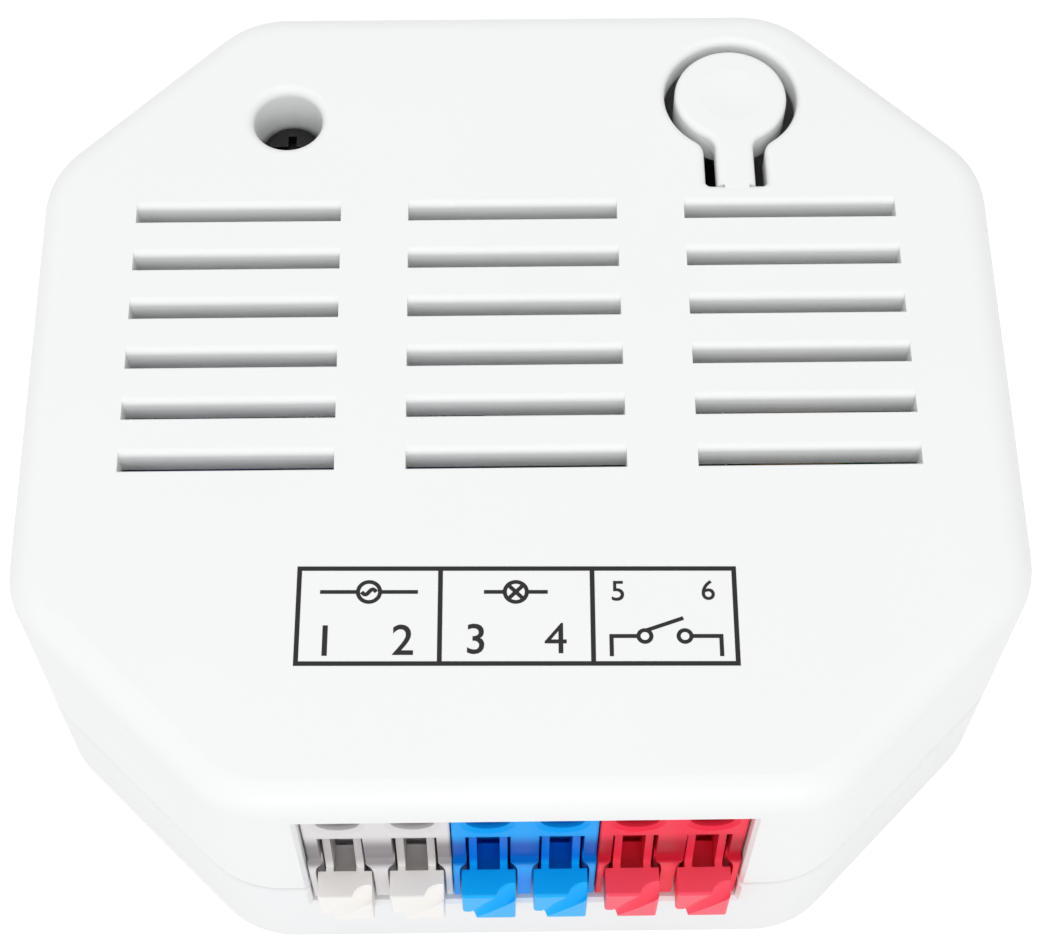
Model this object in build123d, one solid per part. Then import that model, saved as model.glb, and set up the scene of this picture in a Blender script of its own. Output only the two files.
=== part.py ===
# In-wall relay switch module: an eight-sided case with a press button, a screw well and lever terminals.
# Units are millimetres. The origin is the centre of the flat underside. X runs to the right, Y to the far
# side, Z up. The wires enter from the near side, -Y.
from build123d import *
from math import hypot, sqrt
import os

# Case
CASE_WIDTH = 49.0
CASE_DEPTH = 45.6
CASE_HEIGHT = 19.5
NEAR_CORNER_CUT = 10.6
FAR_CORNER_CUT = 10.2
CORNER_ROUND = 5.0
TOP_ROUND = 1.5
BOTTOM_ROUND = 0.8
WALL = 1.8
TOP_WALL = 1.6
FLOOR = 1.6

# Seam between the cover and the tray
SEAM_HEIGHT = 8.0
SEAM_GAP = 0.4
SEAM_EDGE_ROUND = 0.25
LIP_INSET = 1.0
LIP_HEIGHT = 1.4
LIP_CLEARANCE = 0.1

# Snap hooks on the tray and the pockets that they catch in
HOOK_WIDTH = 5.0
HOOK_THICKNESS = 0.9
HOOK_HEIGHT = 13.0
BARB_HEIGHT = 1.4
BARB_REACH = 0.4
BARB_DROP = 0.2
HOOK_CLEARANCE = 0.2

# Vent slots
VENT_ROWS = 6
VENT_LENGTHS = (10.5, 10.75, 10.9)
VENT_WEB = 3.45
VENT_WIDTH = 0.9
VENT_PITCH = 2.895
VENT_TO_FAR_SIDE = 13.31
VENT_FAR_LIP = 0.35
VENT_NEAR_LIP = 0.12

# Press button on its tongue
BUTTON_TO_RIGHT_SIDE = 13.05
BUTTON_TO_FAR_SIDE = 5.95
BUTTON_RADIUS = 2.97
BUTTON_GAP = 0.55
BUTTON_SKIRT = 1.0
BUTTON_SKIRT_WALL = 0.7
BUTTON_EDGE_ROUND = 0.35
TONGUE_WIDTH = 2.0
TONGUE_SLOT = 0.6
TONGUE_THICKNESS = 1.0
TONGUE_LENGTH = 5.75
TONGUE_SLOT_END_ROUND = 0.3
TONGUE_BLEND = 0.9
DIMPLE_RADIUS = 1.7
DIMPLE_DEPTH = 0.12
NUB_RADIUS = 1.0
NUB_LENGTH = 1.3
GAP_EDGE_ROUND = 0.4

# Tact switch below the button
TACT_SIZE = 4.5
TACT_HEIGHT = 3.4
TACT_COLLAR_RADIUS = 1.5
TACT_COLLAR_HEIGHT = 0.5
PLUNGER_RADIUS = 0.9
PLUNGER_CLEARANCE = 0.08
PLUNGER_TRAVEL_ROOM = 0.6
BUTTON_PLAY = 0.06

# Screw well and screw
WELL_TO_LEFT_SIDE = 12.54
WELL_TO_FAR_SIDE = 7.3
WELL_RADIUS = 1.8
WELL_DEPTH = 3.9
WELL_TUBE_WALL = 1.0
WELL_EDGE_ROUND = 0.5
WELL_SEAT = 1.1
SCREW_HEAD_RADIUS = 1.6
SCREW_HEAD_HEIGHT = 1.1
SCREW_HEAD_ROUND = 0.3
SCREW_SHANK_RADIUS = 1.0
SCREW_LENGTH = 8.5
SCREW_CLEARANCE = 0.15
SCREW_GRIP_CLEARANCE = 0.02
RECESS_SPAN = 1.8
RECESS_WIDTH = 0.45
RECESS_DEPTH = 0.6
BOSS_RADIUS = 2.2
BOSS_GAP = 0.05

# Circuit board and the posts that carry it
BOARD_HEIGHT = 4.2
BOARD_THICKNESS = 1.6
BOARD_INSET = 3.1
BOARD_BOSS_GAP = 0.25
BOARD_EDGE_ROOM = 0.2
POST_RADIUS = 1.5
POST_TO_SIDE = 7.5
POST_TO_END = 11.8
PIN_BELOW_BOARD = 1.3
PIN_CLEARANCE = 0.1

# Terminal housings
BLOCK_COUNT = 3
POLES_PER_BLOCK = 2
POLE_PITCH = 3.5
BLOCK_SIDE_GAP = 0.05
BLOCK_DEPTH = 11.7
BLOCK_FOOT = 0.3
BLOCK_FOOT_DEPTH = 1.2
BLOCK_ROOM_ABOVE = 0.4
BLOCK_EDGE_ROUND = 0.15
FACE_RECESS = 0.6
APRON_THICKNESS = 0.3
APRON_EDGE_ROUND = 0.1
WINDOW_MARGIN = 0.05
WINDOW_ROOM_ABOVE = 0.2
WINDOW_FLARE = 0.2

# Wire entry, lever pocket and spring chamber of one pole
ENTRY_RADIUS = 1.05
ENTRY_FLARE = 0.25
ENTRY_FLARE_DEPTH = 0.15
ENTRY_WALL = 0.75
ENTRY_TO_PIVOT = 2.7
POCKET_WIDTH = 2.15
POCKET_DEPTH = 2.0
POCKET_ABOVE_PIVOT = 0.9
POCKET_BELOW_HEAD_TOP = 1.9
SHOULDER_DEPTH = 0.5
SHOULDER_ROOM = 0.2
SHOULDER_RISE = 1.2
BAND_DEPTH = 0.55
BAND_HEIGHT = 3.1
CHAMBER_WALL = 1.6
CHAMBER_WIDTH = 2.3
CHAMBER_BACK_WALL = 0.8

# Release lever
PIVOT_BEHIND_FACE = 1.15
PIVOT_RADIUS = 0.4
PIVOT_REACH = 0.3
PIVOT_CLEARANCE = 0.05
ARM_WIDTH = 0.37
ARM_END_RADIUS = 0.6
ARM_SIDE_CLEARANCE = 0.15
ARM_FRONT_SETBACK = 0.15
HEAD_WIDTH = 2.62
HEAD_FRONT = 1.5
HEAD_OVER_BOARD = 0.2
HEAD_HEIGHT = 3.4
HEAD_FACE_GAP = 0.1
HEAD_ROUND = 0.16
HEAD_NOTCH_WIDTH = 0.45
HEAD_NOTCH_HEIGHT = 1.15
HEAD_NOTCH_SLOPE = 0.3
HEAD_SIDE_CLEARANCE = 0.1
SCOOP_RADIUS = 0.55
SCOOP_TOP_SIDE = 1.04
SCOOP_TOP_DEPTH = 0.7
SCOOP_FOOT_SIDE = 0.62
SCOOP_FOOT_DEPTH = 0.15
SCOOP_FALL = 2.57
WEB_BELOW_HEAD_TOP = 1.05
WEB_HEIGHT = 0.7
HEAD_OVER_SILL = 0.2
SILL_BELOW_BLOCK = 0.1

# Current bars and leaf springs of the terminals
BAR_WIDTH = 1.8
BAR_THICKNESS = 0.4
BAR_BACK_THICKNESS = 0.6
BAR_PIN_WIDTH = 0.8
SPRING_THICKNESS = 0.3
SPRING_WIDTH = 1.8
SPRING_BEND = 1.2
SPRING_TIP_GAP = 0.3

# Height over the board that the relay, the transformer and the two tall capacitors share
TALL_PART_HEIGHT = 9.6

# Relay
RELAY_LENGTH = 18.0
RELAY_WIDTH = 9.0
RELAY_SHELL = 0.6
RELAY_BASE_HEIGHT = 1.2
RELAY_HEADROOM = 0.5
RELAY_COIL_LENGTH = 9.0
RELAY_FLANGE_STEP = 0.5
RELAY_FLANGE = 0.6
RELAY_CORE_RADIUS = 1.1
RELAY_IRON = 0.9
ARMATURE_GAP = 0.5
ARMATURE_WIDTH = 5.0
ARMATURE_BEARING_GAP = 0.1
RELAY_PIN = 0.8
RELAY_FIT = 0.1

# Other parts on the board
PART_GAP = 1.1
ROW_TO_SIDE = 4.5
TRANSFORMER_LENGTH = 11.0
TRANSFORMER_WIDTH = 9.2
TRANSFORMER_LEG = 2.0
WINDING_GAP = 0.15
WINDING_OUT = 0.6
MAINS_CAP_LENGTH = 4.6
MAINS_CAP_WIDTH = 11.5
BULK_CAP_RADIUS = 4.0
OUTPUT_CAP_RADIUS = 3.15
OUTPUT_CAP_HEIGHT = 8.0
CAP_TOP_ROUND = 0.5
CAP_GROOVE = 0.35
VARISTOR_RADIUS = 3.3
VARISTOR_THICKNESS = 3.2
FUSE_LENGTH = 6.6
FUSE_WIDTH = 3.4
FUSE_HEIGHT = 6.5
SIDE_PART_GAP = 1.0
CHOKE_RADIUS = 2.5
CHOKE_HEIGHT = 6.0
CHOKE_WAIST = 1.7
CHOKE_FLANGE = 0.8
RECTIFIER_SIZE = 4.2
RECTIFIER_HEIGHT = 2.4
OPTO_LENGTH = 4.6
OPTO_WIDTH = 6.0
OPTO_HEIGHT = 3.4
LED_SIZE = 1.6
LED_HEIGHT = 0.9
THERMISTOR_RADIUS = 1.1
THERMISTOR_HEIGHT = 2.8
RADIO_LENGTH = 13.5
RADIO_WIDTH = 9.0
RADIO_THICKNESS = 0.8
HEADER_HEIGHT = 2.0
HEADER_WIDTH = 1.8
SHIELD_INSET = 1.6
SHIELD_HEIGHT = 1.8
EDGE_SOFTENING = 0.2

# How far a cutter runs past the face that it opens, and how near counts as on a level
BEYOND = 1.0
TOUCH = 0.01

# Levels
UNDERSIDE = CASE_HEIGHT - TOP_WALL
COVER_BOTTOM = SEAM_HEIGHT + SEAM_GAP / 2
TRAY_TOP = SEAM_HEIGHT - SEAM_GAP / 2
LIP_TOP = TRAY_TOP + LIP_HEIGHT
BOARD_TOP = BOARD_HEIGHT + BOARD_THICKNESS
PIN_TIP = BOARD_HEIGHT - PIN_BELOW_BOARD
BLOCK_BOTTOM = BOARD_TOP + BLOCK_FOOT
BLOCK_TOP = UNDERSIDE - BLOCK_ROOM_ABOVE
WINDOW_TOP = UNDERSIDE - WINDOW_ROOM_ABOVE
ENTRY_Z = BLOCK_TOP - ENTRY_RADIUS - ENTRY_WALL
PIVOT_Z = ENTRY_Z - ENTRY_TO_PIVOT
HEAD_BOTTOM = BOARD_TOP + HEAD_OVER_BOARD
HEAD_TOP = HEAD_BOTTOM + HEAD_HEIGHT
WINDOW_BOTTOM = min(BLOCK_BOTTOM - SILL_BELOW_BLOCK, HEAD_BOTTOM - HEAD_OVER_SILL)
WELL_FLOOR = CASE_HEIGHT - WELL_DEPTH
WELL_TUBE_BOTTOM = WELL_FLOOR - WELL_SEAT
TONGUE_BOTTOM = CASE_HEIGHT - TONGUE_THICKNESS
NUB_BOTTOM = TONGUE_BOTTOM - NUB_LENGTH

# Places on the case, each from the side that it keeps its distance to
BUTTON_X = CASE_WIDTH / 2 - BUTTON_TO_RIGHT_SIDE
BUTTON_Y = CASE_DEPTH / 2 - BUTTON_TO_FAR_SIDE
TONGUE_ROOT_Y = BUTTON_Y - TONGUE_LENGTH
WELL_X = WELL_TO_LEFT_SIDE - CASE_WIDTH / 2
WELL_Y = CASE_DEPTH / 2 - WELL_TO_FAR_SIDE
VENT_FIRST_Y = CASE_DEPTH / 2 - VENT_TO_FAR_SIDE
POST_X = CASE_WIDTH / 2 - POST_TO_SIDE
POST_Y = CASE_DEPTH / 2 - POST_TO_END
BOARD_FAR_ROW = CASE_DEPTH / 2 - BOARD_INSET - BOARD_EDGE_ROOM

# Relay coil, from the height inside the relay
RELAY_COIL_ROOM = TALL_PART_HEIGHT - RELAY_SHELL - RELAY_BASE_HEIGHT - RELAY_IRON - 2 * RELAY_FIT
RELAY_FLANGE_RADIUS = (RELAY_COIL_ROOM - RELAY_HEADROOM) / 2
RELAY_COIL_RADIUS = RELAY_FLANGE_RADIUS - RELAY_FLANGE_STEP

# Places along Y, and the rows of parts behind the terminals
NEAR_FACE = -CASE_DEPTH / 2
BLOCK_FACE = NEAR_FACE + FACE_RECESS
BLOCK_BACK = BLOCK_FACE + BLOCK_DEPTH
PIVOT_Y = BLOCK_FACE + PIVOT_BEHIND_FACE
CHAMBER_FRONT = BLOCK_FACE + POCKET_DEPTH + CHAMBER_WALL
CHAMBER_BACK = BLOCK_BACK - CHAMBER_BACK_WALL
BLOCK_PITCH = POLES_PER_BLOCK * POLE_PITCH
BLOCK_WIDTH = BLOCK_PITCH - BLOCK_SIDE_GAP
BLOCKS_HALF = BLOCK_COUNT * BLOCK_PITCH / 2
WINDOW_HALF = BLOCKS_HALF + WINDOW_MARGIN
SIDE_PART_X = BLOCKS_HALF + SIDE_PART_GAP + VARISTOR_RADIUS
ROW_LEFT = ROW_TO_SIDE - CASE_WIDTH / 2
FRONT_ROW_Y = BLOCK_BACK + PART_GAP
BACK_ROW_Y = FRONT_ROW_Y + max(RELAY_WIDTH, TRANSFORMER_WIDTH) + PART_GAP
TRANSFORMER_LEFT = ROW_LEFT + RELAY_LENGTH + PART_GAP
MAINS_CAP_LEFT = TRANSFORMER_LEFT + TRANSFORMER_LENGTH + WINDING_OUT + PART_GAP
OUTPUT_CAP_LEFT = ROW_LEFT + 2 * BULK_CAP_RADIUS + PART_GAP
RADIO_LEFT = OUTPUT_CAP_LEFT + 2 * OUTPUT_CAP_RADIUS + PART_GAP

BLOCK_NAMES = ("left", "centre", "right")


def block(x, y, z):
    """Box between the two ends given along each axis."""
    size = Box(x[1] - x[0], y[1] - y[0], z[1] - z[0])
    return Pos((x[0] + x[1]) / 2, (y[0] + y[1]) / 2, (z[0] + z[1]) / 2) * size


def pillar(x, y, half_x, half_y, low, high):
    """Upright box round a middle in X and Y."""
    return block((x - half_x, x + half_x), (y - half_y, y + half_y), (low, high))


def post(x, y, radius, low, high):
    """Upright cylinder."""
    return Pos(x, y, (low + high) / 2) * Cylinder(radius, high - low)


def rod_y(x, z, radius, near, far):
    """Cylinder along Y."""
    return Pos(x, (near + far) / 2, z) * Rot(90, 0, 0) * Cylinder(radius, far - near)


def rod_x(y, z, radius, left, right):
    """Cylinder along X."""
    return Pos((left + right) / 2, y, z) * Rot(0, 90, 0) * Cylinder(radius, right - left)


def side_profile(points, left, right):
    """Solid between two X planes, from an outline of (y, z) points."""
    outline = Plane.YZ * Polygon(*points, align=None)
    return Pos(left, 0, 0) * extrude(outline, right - left)


def octagon(inset, low, high):
    """Eight-sided prism, the case outline moved inwards by the inset."""
    shorter = inset * (2 - sqrt(2))
    rounding = max(CORNER_ROUND - inset, EDGE_SOFTENING)
    outline = Rectangle(CASE_WIDTH - 2 * inset, CASE_DEPTH - 2 * inset)
    outline = chamfer(outline.vertices().group_by(Axis.Y)[0], NEAR_CORNER_CUT - shorter)
    outline = chamfer(outline.vertices().group_by(Axis.Y)[-1], FAR_CORNER_CUT - shorter)
    outline = fillet(outline.vertices(), rounding)
    return Pos(0, 0, low) * extrude(outline, high - low)


def soften_top(shape, radius):
    """Rounds the edges of the highest face."""
    return fillet(shape.faces().sort_by(Axis.Z)[-1].edges(), radius)


def keyhole(radius, width, low, high, end_round=0):
    """Disc with a straight stem to the tongue's root, blended where the two meet."""
    disc = Pos(BUTTON_X, BUTTON_Y) * Circle(radius)
    stem_length = BUTTON_Y - TONGUE_ROOT_Y
    stem = Pos(BUTTON_X, TONGUE_ROOT_Y + stem_length / 2) * Rectangle(width, stem_length)
    outline = disc + stem
    meeting_y = BUTTON_Y - sqrt(radius ** 2 - (width / 2) ** 2)
    meeting = outline.vertices().filter_by(lambda corner: abs(corner.Y - meeting_y) < WALL / 10)
    outline = fillet(meeting, TONGUE_BLEND)
    if end_round:
        outline = fillet(outline.vertices().group_by(Axis.Y)[0], end_round)
    return Pos(0, 0, low) * extrude(outline, high - low)


def block_centre(index):
    return (index - (BLOCK_COUNT - 1) / 2) * BLOCK_PITCH


def pole_places(index):
    """X of each pole of one terminal block."""
    middle = block_centre(index)
    return [middle + (pole - (POLES_PER_BLOCK - 1) / 2) * POLE_PITCH for pole in range(POLES_PER_BLOCK)]


def hook_places():
    """X, Y and turn of each snap hook's middle, on the inner face of the wall."""
    side = CASE_WIDTH / 2 - WALL
    far = CASE_DEPTH / 2 - WALL
    return [(side, 0, 0), (-side, 0, 180), (0, far, 90)]


def window_frame(y, growth):
    """Outline of the window at one depth, grown at its sides and its foot."""
    half, low = WINDOW_HALF + growth, WINDOW_BOTTOM - growth
    outline = Polygon((-half, low), (half, low), (half, WINDOW_TOP), (-half, WINDOW_TOP), align=None)
    return Pos(0, y, 0) * (Plane.XZ * outline)


def terminal_window(low, high):
    """Cutter of the window in the near wall."""
    return block((-WINDOW_HALF, WINDOW_HALF), (NEAR_FACE - BEYOND, NEAR_FACE + WALL + BEYOND), (low, high))


def window_mouth():
    """Cutter that slopes the sides and the foot of the window at the near face."""
    outer = window_frame(NEAR_FACE - WINDOW_FLARE, 2 * WINDOW_FLARE)
    return loft([outer, window_frame(NEAR_FACE + WINDOW_FLARE, 0)])


def vent_columns():
    """Left and right end of each column of vent slots."""
    left = -(sum(VENT_LENGTHS) + (len(VENT_LENGTHS) - 1) * VENT_WEB) / 2
    columns = []
    for length in VENT_LENGTHS:
        columns.append((left, left + length))
        left += length + VENT_WEB
    return columns


def vent_slots():
    """Cutters of the vent slots: a straight slot, and the round lip of its far edge."""
    slots = []
    for ends in vent_columns():
        for row in range(VENT_ROWS):
            middle = VENT_FIRST_Y - row * VENT_PITCH
            far = middle + VENT_WIDTH / 2
            slot = block(ends, (middle - VENT_WIDTH / 2, far), (UNDERSIDE - BEYOND, CASE_HEIGHT + BEYOND))
            lip_bottom = CASE_HEIGHT - VENT_FAR_LIP
            lip = block(ends, (far - VENT_WIDTH / 2, far + VENT_FAR_LIP), (lip_bottom, CASE_HEIGHT))
            lip -= rod_x(far + VENT_FAR_LIP, lip_bottom, VENT_FAR_LIP, ends[0] - BEYOND, ends[1] + BEYOND)
            slots.append(slot + lip)
    return slots


def is_vent_near_edge(edge):
    """True for the near edge of a vent slot's mouth."""
    centre = edge.center()
    near_edges = [VENT_FIRST_Y - row * VENT_PITCH - VENT_WIDTH / 2 for row in range(VENT_ROWS)]
    on_top = abs(centre.Z - CASE_HEIGHT) < TOUCH
    return on_top and any(abs(centre.Y - near) < TOUCH for near in near_edges)


def is_button_gap_edge(edge):
    """True for an edge of the keyhole gap's mouth, apart from the tongue's root."""
    centre = edge.center()
    on_top = abs(centre.Z - CASE_HEIGHT) < TOUCH
    near_button = hypot(centre.X - BUTTON_X, centre.Y - BUTTON_Y) < BUTTON_RADIUS + BUTTON_GAP + TONGUE_BLEND
    return on_top and near_button and centre.Y > TONGUE_ROOT_Y + TONGUE_SLOT / 4


def make_top_cover():
    cover = soften_top(octagon(0, COVER_BOTTOM, CASE_HEIGHT), TOP_ROUND)
    outer_foot = cover.edges().group_by(Axis.Z)[0]
    cover = fillet(outer_foot, SEAM_EDGE_ROUND)
    cover -= octagon(WALL, COVER_BOTTOM - BEYOND, UNDERSIDE)
    cover -= octagon(LIP_INSET - LIP_CLEARANCE, COVER_BOTTOM - BEYOND, LIP_TOP)
    cover -= terminal_window(COVER_BOTTOM - BEYOND, WINDOW_TOP)
    cover -= window_mouth()
    # Vent slots, then the keyhole gap, each with softened mouths
    for slot in vent_slots():
        cover -= slot
    cover = fillet(cover.edges().filter_by(is_vent_near_edge), VENT_NEAR_LIP)
    gap_width = TONGUE_WIDTH + 2 * TONGUE_SLOT
    cover -= keyhole(BUTTON_RADIUS + BUTTON_GAP, gap_width, UNDERSIDE - BEYOND, CASE_HEIGHT + BEYOND,
                     TONGUE_SLOT_END_ROUND)
    cover = fillet(cover.edges().filter_by(is_button_gap_edge), GAP_EDGE_ROUND)
    # Screw well: a tube below the top, with a seat for the screw head
    cover += post(WELL_X, WELL_Y, WELL_RADIUS + WELL_TUBE_WALL, WELL_TUBE_BOTTOM, UNDERSIDE)
    cover -= post(WELL_X, WELL_Y, WELL_RADIUS, WELL_FLOOR, CASE_HEIGHT + BEYOND)
    mouth = cover.edges().filter_by(GeomType.CIRCLE).filter_by(
        lambda edge: abs(edge.center().Z - CASE_HEIGHT) < TOUCH
        and hypot(edge.arc_center.X - WELL_X, edge.arc_center.Y - WELL_Y) < TOUCH)
    cover = fillet(mouth, WELL_EDGE_ROUND)
    cover -= post(WELL_X, WELL_Y, SCREW_SHANK_RADIUS + SCREW_CLEARANCE, WELL_TUBE_BOTTOM - BEYOND, WELL_FLOOR)
    # Pockets that the snap hooks catch in
    pocket_low = HOOK_HEIGHT - BARB_DROP - BARB_HEIGHT - HOOK_CLEARANCE
    pocket_high = HOOK_HEIGHT + HOOK_CLEARANCE
    pocket_half = HOOK_WIDTH / 2 + HOOK_CLEARANCE
    pocket = block((-BEYOND, BARB_REACH + HOOK_CLEARANCE / 2), (-pocket_half, pocket_half),
                   (pocket_low, pocket_high))
    for x, y, turn in hook_places():
        cover -= Pos(x, y, 0) * Rot(0, 0, turn) * pocket
    return cover


def snap_hook():
    """Upright hook on the inner face of a wall at X = 0, with its barb towards +X."""
    stem = block((-HOOK_THICKNESS, 0), (-HOOK_WIDTH / 2, HOOK_WIDTH / 2), (FLOOR, HOOK_HEIGHT))
    gap_above_lip = block((-LIP_CLEARANCE, BEYOND), (-HOOK_WIDTH, HOOK_WIDTH), (LIP_TOP, HOOK_HEIGHT + BEYOND))
    barb_low = HOOK_HEIGHT - BARB_DROP - BARB_HEIGHT
    barb_outline = [(-LIP_CLEARANCE, barb_low), (BARB_REACH, barb_low),
                    (BARB_REACH, barb_low + BARB_HEIGHT / 2), (-LIP_CLEARANCE, barb_low + BARB_HEIGHT)]
    barb = Plane.XZ * Polygon(*barb_outline, align=None)
    barb = Pos(0, HOOK_WIDTH / 2, 0) * extrude(barb, HOOK_WIDTH)
    return stem - gap_above_lip + barb


def make_base_tray():
    tray = octagon(0, 0, TRAY_TOP)
    tray = fillet(tray.faces().sort_by(Axis.Z)[0].edges(), BOTTOM_ROUND)
    tray = soften_top(tray, SEAM_EDGE_ROUND)
    tray += octagon(LIP_INSET, FLOOR, LIP_TOP)
    tray -= octagon(WALL, FLOOR, LIP_TOP + BEYOND)
    tray -= terminal_window(WINDOW_BOTTOM, LIP_TOP + BEYOND)
    tray -= window_mouth()
    for x, y, turn in hook_places():
        tray += Pos(x, y, 0) * Rot(0, 0, turn) * snap_hook()
    for x in (-POST_X, POST_X):
        for y in (-POST_Y, POST_Y):
            tray += post(x, y, POST_RADIUS, FLOOR, BOARD_HEIGHT)
    tray += post(WELL_X, WELL_Y, BOSS_RADIUS, FLOOR, WELL_TUBE_BOTTOM - BOSS_GAP)
    pilot_radius = SCREW_SHANK_RADIUS + SCREW_GRIP_CLEARANCE
    pilot_bottom = WELL_FLOOR - SCREW_LENGTH - BEYOND
    tray -= post(WELL_X, WELL_Y, pilot_radius, pilot_bottom, WELL_TUBE_BOTTOM + BEYOND)
    return tray


def make_press_button():
    button = keyhole(BUTTON_RADIUS, TONGUE_WIDTH, TONGUE_BOTTOM, CASE_HEIGHT)
    rim = button.edges().filter_by(lambda edge: abs(edge.center().Z - CASE_HEIGHT) < TOUCH
                                   and edge.center().Y > TONGUE_ROOT_Y + TONGUE_SLOT / 4)
    button = fillet(rim, BUTTON_EDGE_ROUND)
    ball = (DIMPLE_RADIUS ** 2 + DIMPLE_DEPTH ** 2) / (2 * DIMPLE_DEPTH)
    button -= Pos(BUTTON_X, BUTTON_Y, CASE_HEIGHT + ball - DIMPLE_DEPTH) * Sphere(ball)
    # Skirt round the disc's underside, and the nub that presses the switch
    skirt_bottom = TONGUE_BOTTOM - BUTTON_SKIRT
    skirt = post(BUTTON_X, BUTTON_Y, BUTTON_RADIUS, skirt_bottom, TONGUE_BOTTOM)
    skirt -= post(BUTTON_X, BUTTON_Y, BUTTON_RADIUS - BUTTON_SKIRT_WALL, skirt_bottom - BEYOND, TONGUE_BOTTOM)
    return button + skirt + post(BUTTON_X, BUTTON_Y, NUB_RADIUS, NUB_BOTTOM, TONGUE_BOTTOM)


def make_tact_switch():
    top = BOARD_TOP + TACT_HEIGHT
    body = pillar(BUTTON_X, BUTTON_Y, TACT_SIZE / 2, TACT_SIZE / 2, BOARD_TOP, top)
    body = fillet(body.edges().filter_by(Axis.Z), EDGE_SOFTENING)
    body += post(BUTTON_X, BUTTON_Y, TACT_COLLAR_RADIUS, top, top + TACT_COLLAR_HEIGHT)
    guide = PLUNGER_RADIUS + PLUNGER_CLEARANCE
    guide_top = top + TACT_COLLAR_HEIGHT + BEYOND
    return body - post(BUTTON_X, BUTTON_Y, guide, top - 2 * PLUNGER_TRAVEL_ROOM, guide_top)


def make_tact_plunger():
    low = BOARD_TOP + TACT_HEIGHT - PLUNGER_TRAVEL_ROOM
    plunger = post(BUTTON_X, BUTTON_Y, PLUNGER_RADIUS, low, NUB_BOTTOM - BUTTON_PLAY)
    return soften_top(plunger, EDGE_SOFTENING)


def make_case_screw():
    head = post(WELL_X, WELL_Y, SCREW_HEAD_RADIUS, WELL_FLOOR, WELL_FLOOR + SCREW_HEAD_HEIGHT)
    head = soften_top(head, SCREW_HEAD_ROUND)
    span = RECESS_SPAN / 2
    top = WELL_FLOOR + SCREW_HEAD_HEIGHT
    for turn in (0, 90):
        arm = block((-span, span), (-RECESS_WIDTH / 2, RECESS_WIDTH / 2), (top - RECESS_DEPTH, top + BEYOND))
        head -= Pos(WELL_X, WELL_Y, 0) * Rot(0, 0, turn) * arm
    shank = post(WELL_X, WELL_Y, SCREW_SHANK_RADIUS, WELL_FLOOR - SCREW_LENGTH, WELL_FLOOR)
    tip = shank.edges().sort_by(Axis.Z)[0]
    return head + chamfer(tip, SCREW_SHANK_RADIUS / 2)


def terminal_pin_places():
    """X and Y of the board pin of each pole."""
    y = CHAMBER_BACK - BAR_BACK_THICKNESS / 2
    return [(x, y) for index in range(BLOCK_COUNT) for x in pole_places(index)]


def relay_pin_places():
    """X and Y of the relay's pins: two for the coil, two for the contacts."""
    right = ROW_LEFT + RELAY_LENGTH - RELAY_SHELL - 2 * RELAY_PIN
    left = ROW_LEFT + RELAY_SHELL + 2 * RELAY_PIN
    near = FRONT_ROW_Y + RELAY_SHELL + 2 * RELAY_PIN
    far = FRONT_ROW_Y + RELAY_WIDTH - RELAY_SHELL - 2 * RELAY_PIN
    return [(x, y) for x in (left, right) for y in (near, far)]


def transformer_pin_places():
    """X and Y of the transformer's pins, two rows of three."""
    middle_x = TRANSFORMER_LEFT + TRANSFORMER_LENGTH / 2
    middle_y = FRONT_ROW_Y + TRANSFORMER_WIDTH / 2
    step = TRANSFORMER_LENGTH / 4
    row = TRANSFORMER_WIDTH / 2 - RELAY_PIN
    return [(middle_x + side * step, middle_y + edge * row) for side in (-1, 0, 1) for edge in (-1, 1)]


def make_circuit_board():
    board = octagon(BOARD_INSET, BOARD_HEIGHT, BOARD_TOP)
    board -= post(WELL_X, WELL_Y, BOSS_RADIUS + BOARD_BOSS_GAP, BOARD_HEIGHT - BEYOND, BOARD_TOP + BEYOND)
    hole_radius = hypot(RELAY_PIN, RELAY_PIN) / 2 + PIN_CLEARANCE
    for x, y in terminal_pin_places() + relay_pin_places() + transformer_pin_places():
        board -= post(x, y, hole_radius, BOARD_HEIGHT - BEYOND, BOARD_TOP + BEYOND)
    return board


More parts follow.
